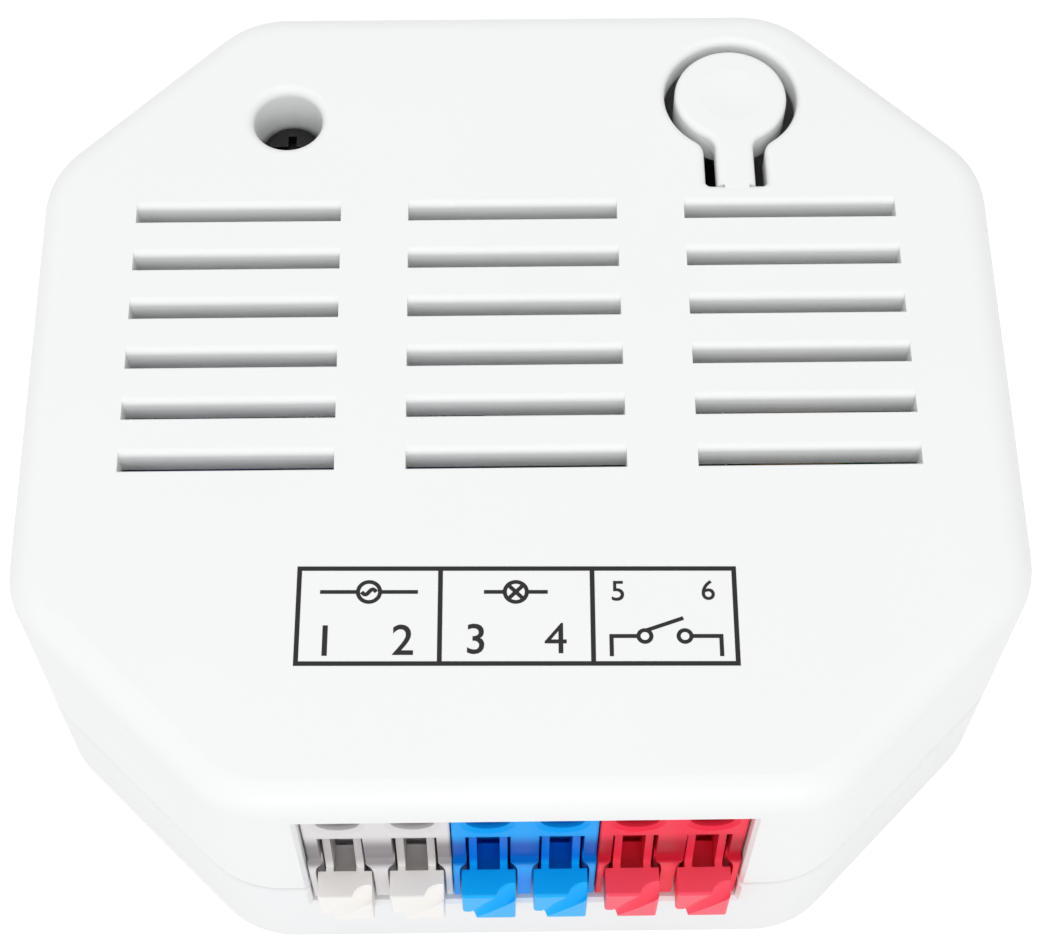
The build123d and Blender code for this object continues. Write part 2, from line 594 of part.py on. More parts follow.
def pole_hollows(x):
    """What one pole takes out of its housing."""
    half_pocket = POCKET_WIDTH / 2
    entry = rod_y(x, ENTRY_Z, ENTRY_RADIUS, BLOCK_FACE - BEYOND, CHAMBER_FRONT + BEYOND)
    from_face = (Align.CENTER, Align.CENTER, Align.MIN)
    flare = Cone(ENTRY_RADIUS + ENTRY_FLARE, ENTRY_RADIUS, ENTRY_FLARE_DEPTH, align=from_face)
    flare = Pos(x, BLOCK_FACE, ENTRY_Z) * Rot(-90, 0, 0) * flare
    pocket_top = PIVOT_Z + POCKET_ABOVE_PIVOT
    pocket = block((x - half_pocket, x + half_pocket), (BLOCK_FACE - BEYOND, BLOCK_FACE + POCKET_DEPTH),
                   (HEAD_TOP - POCKET_BELOW_HEAD_TOP, pocket_top))
    shoulder_half = HEAD_WIDTH / 2 + HEAD_SIDE_CLEARANCE
    shoulder_top = HEAD_TOP + SHOULDER_ROOM
    shoulder = block((x - shoulder_half, x + shoulder_half), (BLOCK_FACE - BEYOND, BLOCK_FACE + SHOULDER_DEPTH),
                     (BLOCK_BOTTOM - BEYOND, shoulder_top))
    for side in (-1, 1):
        quarter = Ellipse(shoulder_half - half_pocket, SHOULDER_RISE)
        curve = Plane.XZ * Pos(x + side * half_pocket, shoulder_top) * quarter
        shoulder += Pos(0, BLOCK_FACE + SHOULDER_DEPTH, 0) * extrude(curve, SHOULDER_DEPTH + BEYOND)
    bearing_half = half_pocket + PIVOT_REACH
    bearing = rod_x(PIVOT_Y, PIVOT_Z, PIVOT_RADIUS + PIVOT_CLEARANCE, x - bearing_half, x + bearing_half)
    chamber = block((x - CHAMBER_WIDTH / 2, x + CHAMBER_WIDTH / 2), (CHAMBER_FRONT, CHAMBER_BACK),
                    (BLOCK_BOTTOM - BEYOND, ENTRY_Z + ENTRY_RADIUS))
    return [entry, flare, pocket, shoulder, bearing, chamber]


def make_terminal(index):
    middle = block_centre(index)
    half = BLOCK_WIDTH / 2
    housing = block((middle - half, middle + half), (BLOCK_FACE, BLOCK_BACK), (BLOCK_BOTTOM, BLOCK_TOP))
    front_edges = housing.faces().sort_by(Axis.Y)[0].edges()
    housing = fillet(front_edges, BLOCK_EDGE_ROUND)
    foot_front = max(CHAMBER_FRONT - CHAMBER_WALL, BOARD_INSET + NEAR_FACE)
    for near in (foot_front, BLOCK_BACK - BLOCK_FOOT_DEPTH):
        foot_middle = near + BLOCK_FOOT_DEPTH / 2
        housing += pillar(middle, foot_middle, half, BLOCK_FOOT_DEPTH / 2, BOARD_TOP, BLOCK_BOTTOM)
    # Apron across the lower face, and above it a band at the height of the lever pockets, sloped at its foot
    band_top = PIVOT_Z + POCKET_ABOVE_PIVOT
    band_low = band_top - BAND_HEIGHT
    band_floor = BLOCK_FACE + BAND_DEPTH
    apron_face = BLOCK_FACE - APRON_THICKNESS
    apron = block((middle - half, middle + half), (apron_face, band_floor), (BLOCK_BOTTOM, band_low))
    housing += fillet(apron.faces().sort_by(Axis.Y)[0].edges(), APRON_EDGE_ROUND)
    band_profile = [(BLOCK_FACE - BEYOND, band_top), (band_floor, band_top), (band_floor, band_low + BAND_DEPTH),
                    (apron_face, band_low - APRON_THICKNESS), (BLOCK_FACE - BEYOND, band_low - APRON_THICKNESS)]
    housing -= side_profile(band_profile, middle - half, middle + half)
    for x in pole_places(index):
        for hollow in pole_hollows(x):
            housing -= hollow
    return housing


def make_lever(x):
    """Head in front of the housing, two arms up to the trunnions."""
    arms_half = POCKET_WIDTH / 2 - ARM_SIDE_CLEARANCE
    front = BLOCK_FACE + ARM_FRONT_SETBACK
    back_of_head = BLOCK_FACE - HEAD_FACE_GAP
    tip = BLOCK_FACE - HEAD_FRONT
    arm_back = PIVOT_Y + ARM_END_RADIUS
    web_top = HEAD_TOP - WEB_BELOW_HEAD_TOP
    web_low = web_top - WEB_HEIGHT
    arm_profile = [(PIVOT_Y - ARM_END_RADIUS, PIVOT_Z), (front, HEAD_TOP), (back_of_head, HEAD_TOP),
                   (back_of_head, web_low), (arm_back - ARM_FRONT_SETBACK, web_low), (arm_back, PIVOT_Z)]
    half_head = HEAD_WIDTH / 2
    lever = block((x - half_head, x + half_head), (tip, back_of_head), (HEAD_BOTTOM, HEAD_TOP))
    lever = fillet(lever.faces().sort_by(Axis.Y)[0].edges(), HEAD_ROUND)
    # Step in the lower left corner, and a scoop from the upper right, where it is deep, to the lower left
    corner = x - half_head
    notch_top = HEAD_BOTTOM + HEAD_NOTCH_HEIGHT
    notch_low = HEAD_BOTTOM - BEYOND
    slope_foot = corner + HEAD_NOTCH_WIDTH + HEAD_NOTCH_SLOPE
    notch_outline = [(corner - BEYOND, notch_low), (slope_foot, notch_low), (slope_foot, HEAD_BOTTOM),
                     (corner + HEAD_NOTCH_WIDTH, notch_top), (corner - BEYOND, notch_top)]
    notch = Plane.XZ * Polygon(*notch_outline, align=None)
    lever -= Pos(0, back_of_head + BEYOND, 0) * extrude(notch, HEAD_FRONT + 2 * BEYOND)
    scoop_top = Vector(x + SCOOP_TOP_SIDE, tip - SCOOP_RADIUS + SCOOP_TOP_DEPTH, HEAD_TOP)
    scoop_foot = Vector(x - SCOOP_FOOT_SIDE, tip - SCOOP_RADIUS + SCOOP_FOOT_DEPTH, HEAD_TOP - SCOOP_FALL)
    along = Plane(origin=(scoop_top + scoop_foot) / 2, z_dir=scoop_top - scoop_foot)
    lever -= along * Cylinder(SCOOP_RADIUS, 3 * HEAD_WIDTH)
    for side in (-1, 1):
        outer = x + side * arms_half
        inner = outer - side * ARM_WIDTH
        left, right = min(outer, inner), max(outer, inner)
        lever += side_profile(arm_profile, left, right)
        lever += rod_x(PIVOT_Y, PIVOT_Z, ARM_END_RADIUS, left, right)
        reach = outer + side * (ARM_SIDE_CLEARANCE + PIVOT_REACH - PIVOT_CLEARANCE)
        lever += rod_x(PIVOT_Y, PIVOT_Z, PIVOT_RADIUS, min(inner, reach), max(inner, reach))
    # Web that joins the arms behind the head
    web_back = arm_back - ARM_FRONT_SETBACK
    lever += block((x - arms_half, x + arms_half), (back_of_head, web_back), (web_low, web_top))
    return lever


def make_contact_bars(index):
    """Bars under the ceilings of the chambers, each with its back plate and board pin."""
    bars = []
    ceiling = ENTRY_Z + ENTRY_RADIUS
    for x in pole_places(index):
        half = BAR_WIDTH / 2
        back = (CHAMBER_BACK - BAR_BACK_THICKNESS, CHAMBER_BACK)
        bar = block((x - half, x + half), (CHAMBER_FRONT, CHAMBER_BACK), (ceiling - BAR_THICKNESS, ceiling))
        bar += block((x - half, x + half), back, (BLOCK_BOTTOM, ceiling))
        bar += block((x - BAR_PIN_WIDTH / 2, x + BAR_PIN_WIDTH / 2), back, (PIN_TIP, BLOCK_BOTTOM))
        bars.append(bar)
    return Compound(children=bars)


def make_clamp_springs(index):
    """Leaf springs: up the back plate, round below and forward to a tip under the bar."""
    half = SPRING_THICKNESS / 2
    back = CHAMBER_BACK - BAR_BACK_THICKNESS - half
    front = CHAMBER_FRONT + half + SPRING_THICKNESS
    low = BLOCK_BOTTOM + half + SPRING_THICKNESS
    high = ENTRY_Z + ENTRY_RADIUS - BAR_THICKNESS - half - SPRING_TIP_GAP
    path = [(back, high), (back, low), ((front + back) / 2, low), (front, high)]
    line = FilletPolyline(*path, radius=SPRING_BEND)
    strip = Plane.YZ * trace(line, SPRING_THICKNESS)
    springs = []
    for x in pole_places(index):
        springs.append(Pos(x - SPRING_WIDTH / 2, 0, 0) * extrude(strip, SPRING_WIDTH))
    return Compound(children=springs)


def relay_frame():
    """Ends of the relay's outside along X and Y, and its lowest and highest level."""
    return ((ROW_LEFT, ROW_LEFT + RELAY_LENGTH), (FRONT_ROW_Y, FRONT_ROW_Y + RELAY_WIDTH),
            (BOARD_TOP, BOARD_TOP + TALL_PART_HEIGHT))


def make_relay_case():
    x, y, z = relay_frame()
    case = soften_top(block(x, y, z), 2 * EDGE_SOFTENING)
    inside = block((x[0] + RELAY_SHELL, x[1] - RELAY_SHELL), (y[0] + RELAY_SHELL, y[1] - RELAY_SHELL),
                   (z[0] - BEYOND, z[1] - RELAY_SHELL))
    return case - inside


def make_relay_base():
    x, y, z = relay_frame()
    inset = RELAY_SHELL + RELAY_FIT
    base = block((x[0] + inset, x[1] - inset), (y[0] + inset, y[1] - inset), (z[0], z[0] + RELAY_BASE_HEIGHT))
    hole = RELAY_PIN / 2 + RELAY_FIT
    for pin_x, pin_y in relay_pin_places():
        base -= pillar(pin_x, pin_y, hole, hole, z[0] - BEYOND, z[1])
    return base


def coil_place():
    """Left end, Y and Z of the coil's axis."""
    x, y, z = relay_frame()
    left = x[0] + RELAY_SHELL + 3 * RELAY_PIN + RELAY_IRON
    level = z[0] + RELAY_BASE_HEIGHT + RELAY_IRON + RELAY_FLANGE_RADIUS + RELAY_FIT
    return left, (y[0] + y[1]) / 2, level


def make_relay_coil():
    left, y, z = coil_place()
    right = left + RELAY_COIL_LENGTH
    coil = rod_x(y, z, RELAY_COIL_RADIUS, left, right)
    coil += rod_x(y, z, RELAY_FLANGE_RADIUS, left, left + RELAY_FLANGE)
    coil += rod_x(y, z, RELAY_FLANGE_RADIUS, right - RELAY_FLANGE, right)
    return coil - rod_x(y, z, RELAY_CORE_RADIUS + RELAY_FIT / 2, left - BEYOND, right + BEYOND)


def yoke_bottom():
    return BOARD_TOP + RELAY_BASE_HEIGHT


def make_relay_yoke():
    """Core rod through the coil, the back plate on its left end and the bar under the coil."""
    left, y, z = coil_place()
    right = left + RELAY_COIL_LENGTH
    half = ARMATURE_WIDTH / 2
    yoke = rod_x(y, z, RELAY_CORE_RADIUS, left - RELAY_IRON, right + RELAY_IRON / 2)
    yoke += block((left - RELAY_IRON, left), (y - half, y + half), (yoke_bottom(), z + half))
    yoke += block((left - RELAY_IRON, right + RELAY_IRON / 2), (y - half, y + half),
                  (yoke_bottom(), yoke_bottom() + RELAY_IRON))
    return yoke


def make_relay_armature():
    """Upright plate in front of the core's end, standing just clear of the yoke's end."""
    left, y, z = coil_place()
    face = left + RELAY_COIL_LENGTH + RELAY_IRON / 2 + ARMATURE_GAP
    half = ARMATURE_WIDTH / 2
    back = face + RELAY_IRON
    plate = block((face, back), (y - half, y + half), (yoke_bottom() + ARMATURE_BEARING_GAP, z + half))
    pusher = block((back, back + RELAY_IRON), (y - half / 2, y + half / 2), (z + half / 2, z + half))
    return plate + pusher


def make_relay_pins():
    """Pins through the base, the two on the right carried up as the contact blades."""
    pins = []
    blade_top = coil_place()[2] + ARMATURE_WIDTH / 2
    half = RELAY_PIN / 2
    places = relay_pin_places()
    right = max(x for x, y in places)
    for x, y in places:
        top = blade_top if x == right else BOARD_TOP + RELAY_BASE_HEIGHT + 2 * RELAY_PIN
        pins.append(pillar(x, y, half, half, PIN_TIP, top))
    return Compound(children=pins)


def make_transformer_core():
    x = (TRANSFORMER_LEFT, TRANSFORMER_LEFT + TRANSFORMER_LENGTH)
    middle_y = FRONT_ROW_Y + TRANSFORMER_WIDTH / 2
    y = (middle_y - TRANSFORMER_LEG, middle_y + TRANSFORMER_LEG)
    low = BOARD_TOP + 2 * WINDING_GAP
    z = (low, BOARD_TOP + TALL_PART_HEIGHT)
    core = block(x, y, z)
    leg = TRANSFORMER_LEG
    middle_x = (x[0] + x[1]) / 2
    for window in ((x[0] + leg, middle_x - leg / 2), (middle_x + leg / 2, x[1] - leg)):
        core -= block(window, (y[0] - BEYOND, y[1] + BEYOND), (z[0] + leg, z[1] - leg))
    return core


def make_transformer_winding():
    """Winding round the middle leg, with a foot under the core on each side for the pins."""
    middle_x = TRANSFORMER_LEFT + TRANSFORMER_LENGTH / 2
    middle_y = FRONT_ROW_Y + TRANSFORMER_WIDTH / 2
    low = BOARD_TOP + 2 * WINDING_GAP + TRANSFORMER_LEG + WINDING_GAP
    high = BOARD_TOP + TALL_PART_HEIGHT - TRANSFORMER_LEG - WINDING_GAP
    half_x = TRANSFORMER_LENGTH / 2 - TRANSFORMER_LEG - WINDING_GAP
    half_y = TRANSFORMER_WIDTH / 2 - WINDING_GAP
    winding = pillar(middle_x, middle_y, half_x, half_y, low, high)
    winding = fillet(winding.edges().filter_by(Axis.Z), WINDING_OUT)
    leg_x = TRANSFORMER_LEG / 2 + WINDING_GAP
    leg_y = TRANSFORMER_LEG + WINDING_GAP
    winding -= pillar(middle_x, middle_y, leg_x, leg_y, low - BEYOND, high + BEYOND)
    foot_half = TRANSFORMER_LENGTH / 2 - TRANSFORMER_LEG / 2
    for side in (-1, 1):
        near = middle_y + side * leg_y
        far = middle_y + side * (TRANSFORMER_WIDTH / 2)
        winding += block((middle_x - foot_half, middle_x + foot_half), (min(near, far), max(near, far)),
                         (BOARD_TOP, low + WINDING_GAP))
    hole = RELAY_PIN / 2
    for x, y in transformer_pin_places():
        winding -= pillar(x, y, hole, hole, BOARD_TOP - BEYOND, BOARD_TOP + TRANSFORMER_LEG)
    return winding


def make_transformer_pins():
    half = RELAY_PIN / 2
    top = BOARD_TOP + TRANSFORMER_LEG
    return Compound(children=[pillar(x, y, half, half, PIN_TIP, top) for x, y in transformer_pin_places()])


def make_mains_capacitor():
    middle_x = MAINS_CAP_LEFT + MAINS_CAP_LENGTH / 2
    middle_y = FRONT_ROW_Y + MAINS_CAP_WIDTH / 2
    box = pillar(middle_x, middle_y, MAINS_CAP_LENGTH / 2, MAINS_CAP_WIDTH / 2, BOARD_TOP,
                 BOARD_TOP + TALL_PART_HEIGHT)
    return soften_top(box, 2 * EDGE_SOFTENING)


def can_capacitor(x, y, radius, height):
    """Round can with a crimp groove near its foot."""
    can = soften_top(post(x, y, radius, BOARD_TOP, BOARD_TOP + height), CAP_TOP_ROUND)
    groove = Pos(x, y, BOARD_TOP + radius / 2) * Torus(radius + CAP_GROOVE / 2, CAP_GROOVE)
    return can - groove


def make_bulk_capacitor():
    x = ROW_LEFT + BULK_CAP_RADIUS
    return can_capacitor(x, BACK_ROW_Y + BULK_CAP_RADIUS, BULK_CAP_RADIUS, TALL_PART_HEIGHT)


def make_output_capacitor():
    x = OUTPUT_CAP_LEFT + OUTPUT_CAP_RADIUS
    return can_capacitor(x, BACK_ROW_Y + OUTPUT_CAP_RADIUS, OUTPUT_CAP_RADIUS, OUTPUT_CAP_HEIGHT)


def make_varistor():
    """Coated disc on edge, with a flat foot."""
    y = FRONT_ROW_Y - PART_GAP - VARISTOR_THICKNESS
    level = BOARD_TOP + VARISTOR_RADIUS
    disc = rod_y(-SIDE_PART_X, level, VARISTOR_RADIUS, y, y + VARISTOR_THICKNESS)
    disc = fillet(disc.edges().filter_by(GeomType.CIRCLE), VARISTOR_THICKNESS / 3)
    foot = block((-SIDE_PART_X - VARISTOR_RADIUS / 2, -SIDE_PART_X + VARISTOR_RADIUS / 2),
                 (y + VARISTOR_THICKNESS / 4, y + VARISTOR_THICKNESS * 3 / 4), (BOARD_TOP, level))
    return disc + foot


def make_fuse():
    y = FRONT_ROW_Y - PART_GAP - FUSE_WIDTH
    half = FUSE_WIDTH / 2
    body = pillar(SIDE_PART_X, y + half, FUSE_LENGTH / 2, half, BOARD_TOP, BOARD_TOP + FUSE_HEIGHT)
    return soften_top(body, 2 * EDGE_SOFTENING)


def radio_place():
    """Ends of the radio board along X and Y, and its underside."""
    x = (RADIO_LEFT, RADIO_LEFT + RADIO_LENGTH)
    y = (BACK_ROW_Y, BACK_ROW_Y + RADIO_WIDTH)
    return x, y, BOARD_TOP + HEADER_HEIGHT


def make_radio_board():
    x, y, low = radio_place()
    return block(x, y, (low, low + RADIO_THICKNESS))


def make_radio_shield():
    x, y, low = radio_place()
    top = low + RADIO_THICKNESS
    side = SHIELD_INSET / 2
    can = block((x[0] + SHIELD_INSET, x[1] - SHIELD_INSET), (y[0] + side, y[1] - side),
                (top, top + SHIELD_HEIGHT))
    return soften_top(can, EDGE_SOFTENING)


def make_radio_headers():
    x, y, low = radio_place()
    strips = [block(x, (near, near + HEADER_WIDTH), (BOARD_TOP, low)) for near in (y[0], y[1] - HEADER_WIDTH)]
    return Compound(children=strips)


def make_rectifier():
    """Bridge rectifier behind the mains capacitor."""
    near = FRONT_ROW_Y + MAINS_CAP_WIDTH + PART_GAP
    body = block((MAINS_CAP_LEFT, MAINS_CAP_LEFT + RECTIFIER_SIZE), (near, near + RECTIFIER_SIZE),
                 (BOARD_TOP, BOARD_TOP + RECTIFIER_HEIGHT))
    return soften_top(body, EDGE_SOFTENING)


def make_choke():
    """Drum choke at the far edge of the board, with a narrow winding between its flanges."""
    x = RADIO_LEFT + CHOKE_RADIUS
    y = BOARD_FAR_ROW - CHOKE_RADIUS
    choke = post(x, y, CHOKE_WAIST, BOARD_TOP, BOARD_TOP + CHOKE_HEIGHT)
    choke += post(x, y, CHOKE_RADIUS, BOARD_TOP, BOARD_TOP + CHOKE_FLANGE)
    return choke + post(x, y, CHOKE_RADIUS, BOARD_TOP + CHOKE_HEIGHT - CHOKE_FLANGE, BOARD_TOP + CHOKE_HEIGHT)


def make_optocoupler():
    x = OUTPUT_CAP_LEFT + 2 * OUTPUT_CAP_RADIUS - OPTO_LENGTH
    y = BACK_ROW_Y + 2 * OUTPUT_CAP_RADIUS + PART_GAP
    body = block((x, x + OPTO_LENGTH), (y, y + OPTO_WIDTH), (BOARD_TOP, BOARD_TOP + OPTO_HEIGHT))
    return soften_top(body, EDGE_SOFTENING)


def make_status_led():
    x = BUTTON_X - TACT_SIZE / 2 - PART_GAP - LED_SIZE
    y = BUTTON_Y - LED_SIZE / 2
    lamp = block((x, x + LED_SIZE), (y, y + LED_SIZE), (BOARD_TOP, BOARD_TOP + LED_HEIGHT))
    return soften_top(lamp, EDGE_SOFTENING)


def make_thermistor():
    """Bead beside the near right corner of the tact switch."""
    x = BUTTON_X + (TACT_SIZE + PART_GAP) / 2 + THERMISTOR_RADIUS
    y = BUTTON_Y - (TACT_SIZE + PART_GAP) / 2
    bead = post(x, y, THERMISTOR_RADIUS, BOARD_TOP, BOARD_TOP + THERMISTOR_HEIGHT)
    return soften_top(bead, THERMISTOR_RADIUS / 2)


def make_all():
    pieces = {
        "top_cover": make_top_cover(),
        "base_tray": make_base_tray(),
        "press_button": make_press_button(),
        "tact_switch": make_tact_switch(),
        "tact_plunger": make_tact_plunger(),
        "case_screw": make_case_screw(),
        "circuit_board": make_circuit_board(),
        "relay_case": make_relay_case(),
        "relay_base": make_relay_base(),
        "relay_coil": make_relay_coil(),
        "relay_yoke": make_relay_yoke(),
        "relay_armature": make_relay_armature(),
        "relay_pins": make_relay_pins(),
        "transformer_core": make_transformer_core(),
        "transformer_winding": make_transformer_winding(),
        "transformer_pins": make_transformer_pins(),
        "mains_capacitor": make_mains_capacitor(),
        "bulk_capacitor": make_bulk_capacitor(),
        "output_capacitor": make_output_capacitor(),
        "varistor": make_varistor(),
        "fuse": make_fuse(),
        "choke": make_choke(),
        "rectifier": make_rectifier(),
        "optocoupler": make_optocoupler(),
        "radio_board": make_radio_board(),
        "radio_shield": make_radio_shield(),
        "radio_headers": make_radio_headers(),
        "status_led": make_status_led(),
        "thermistor": make_thermistor(),
    }
    lever_number = 0
    for index, name in enumerate(BLOCK_NAMES):
        pieces["terminal_" + name] = make_terminal(index)
        pieces["contact_bars_" + name] = make_contact_bars(index)
        pieces["clamp_springs_" + name] = make_clamp_springs(index)
        for x in pole_places(index):
            lever_number += 1
            pieces[f"lever_{lever_number}"] = make_lever(x)
    return pieces


os.makedirs("parts", exist_ok=True)
for node, shape in make_all().items():
    export_step(shape, f"parts/{node}.step")
print("button hinge at Y", TONGUE_ROOT_Y, "Z", TONGUE_BOTTOM, "arm", BUTTON_Y - TONGUE_ROOT_Y)
print("lever pivots at Y", PIVOT_Y, "Z", PIVOT_Z, "X", [x for x, y in terminal_pin_places()])
print("wire entries at Z", ENTRY_Z, "from Y", BLOCK_FACE + ENTRY_FLARE_DEPTH, "to", CHAMBER_FRONT)
armature_x = coil_place()[0] + RELAY_COIL_LENGTH + RELAY_IRON / 2 + ARMATURE_GAP
print("armature hinge at X", armature_x, "Z", yoke_bottom() + ARMATURE_BEARING_GAP)
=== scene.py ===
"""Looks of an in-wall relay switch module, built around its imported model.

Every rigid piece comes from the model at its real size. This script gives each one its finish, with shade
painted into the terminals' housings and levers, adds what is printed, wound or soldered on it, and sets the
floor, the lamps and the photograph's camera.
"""

import logging
import math
from dataclasses import dataclass, field
from enum import Enum

import bmesh
import bpy
from bmesh.types import BMesh
from bpy.types import NodeSocket, NodeTree
from mathutils import Matrix, Vector


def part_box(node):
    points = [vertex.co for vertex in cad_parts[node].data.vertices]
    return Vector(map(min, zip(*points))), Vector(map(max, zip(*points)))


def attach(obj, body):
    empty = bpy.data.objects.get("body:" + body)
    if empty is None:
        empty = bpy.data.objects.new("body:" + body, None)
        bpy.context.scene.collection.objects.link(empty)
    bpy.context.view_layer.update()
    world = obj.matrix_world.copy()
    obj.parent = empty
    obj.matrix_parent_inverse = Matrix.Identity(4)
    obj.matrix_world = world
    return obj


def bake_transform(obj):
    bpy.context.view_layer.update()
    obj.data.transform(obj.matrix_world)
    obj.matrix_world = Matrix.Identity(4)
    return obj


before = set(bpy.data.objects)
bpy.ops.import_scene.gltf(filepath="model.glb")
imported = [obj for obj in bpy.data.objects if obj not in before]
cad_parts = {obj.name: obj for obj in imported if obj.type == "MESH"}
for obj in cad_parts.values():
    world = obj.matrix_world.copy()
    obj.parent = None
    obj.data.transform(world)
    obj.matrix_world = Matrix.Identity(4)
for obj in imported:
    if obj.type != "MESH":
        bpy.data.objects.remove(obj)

LOG = logging.getLogger("relay_module")
MM = 0.001
CASE_BODY = "case"
MERGE_REACH = 0.001 * MM
SMOOTH_ANGLE = math.radians(40)
WIRE_RESOLUTION = 2
ORDER_DIGITS = 5

# What an entry of a node takes
Value = NodeSocket | float | tuple[float, ...]

# Sockets of a mix node by their place, because those for numbers and for colours share their names
MIX_FACTOR = 0
NUMBER_A, NUMBER_B, NUMBER_OUT = 2, 3, 0
COLOUR_A, COLOUR_B, COLOUR_OUT = 6, 7, 2


class Texture(Enum):
    """The small structure that a surface shows close up."""

    MOULDED = "moulded"
    POLISHED = "polished"
    BRUSHED = "brushed"
    PRINTED = "printed"
    LAMINATE = "laminate"
    SINTERED = "sintered"


class Drum(Enum):
    """The way that the axis of a drum points."""

    LYING = "X"
    STANDING = "Z"


# Octaves of a texture's noise, and its share in the drift of the colour
OCTAVES, PLAIN_OCTAVES = {Texture.POLISHED: 1.0, Texture.PRINTED: 5.0}, 3.0
FINE_SHARES, PLAIN_SHARE = {Texture.LAMINATE: 0.6, Texture.SINTERED: 0.7, Texture.PRINTED: 0.5}, 0.25

# Values that all finishes share
DRIFT_SCALE, DRIFT_OCTAVES = 0.09, 2.0
COAT_ROUGHNESS = 0.08
BUMP_STRENGTH = 0.6
ROUGHNESS_SPREAD = 0.12
BRUSHED_STRETCH = 0.06
THREAD_SCALE, THREAD_DISTORTION, THREAD_DETAIL = 0.35, 0.6, 2.0


def fill(tree: NodeTree, node: bpy.types.Node, entries: dict[str | int, Value]) -> None:
    """Gives a node's entries their values.

    Args:
        tree: Node tree of the node.
        node: The node.
        entries: Plain value or incoming socket of each entry, by its name or place.
    """
    for entry, value in entries.items():
        if isinstance(value, NodeSocket):
            tree.links.new(value, node.inputs[entry])
        else:
            node.inputs[entry].default_value = value


def add_node(tree: NodeTree, kind: str, entries: dict[str | int, Value], **settings: str) -> bpy.types.Node:
    """Adds a node.

    Args:
        tree: Node tree that it goes into.
        kind: Its kind.
        entries: Plain value or incoming socket of each entry, by its name or place.
        **settings: Settings of the node.

    Returns:
        The node.
    """
    node = tree.nodes.new("ShaderNode" + kind)
    for name, setting in settings.items():
        setattr(node, name, setting)
    fill(tree, node, entries)
    return node


def add_math(tree: NodeTree, operation: str, first: Value, second: Value) -> NodeSocket:
    """Adds a math node on two values, and gives the socket of its result."""
    return add_node(tree, "Math", {0: first, 1: second}, operation=operation).outputs[0]


def add_mix(tree: NodeTree, kind: str, factor: Value, first: Value, second: Value) -> NodeSocket:
    """Adds a mix of two colours of the given kind, and gives the socket of its result."""
    entries = {MIX_FACTOR: factor, COLOUR_A: first, COLOUR_B: second}
    return add_node(tree, "Mix", entries, data_type="RGBA", blend_type=kind).outputs[COLOUR_OUT]


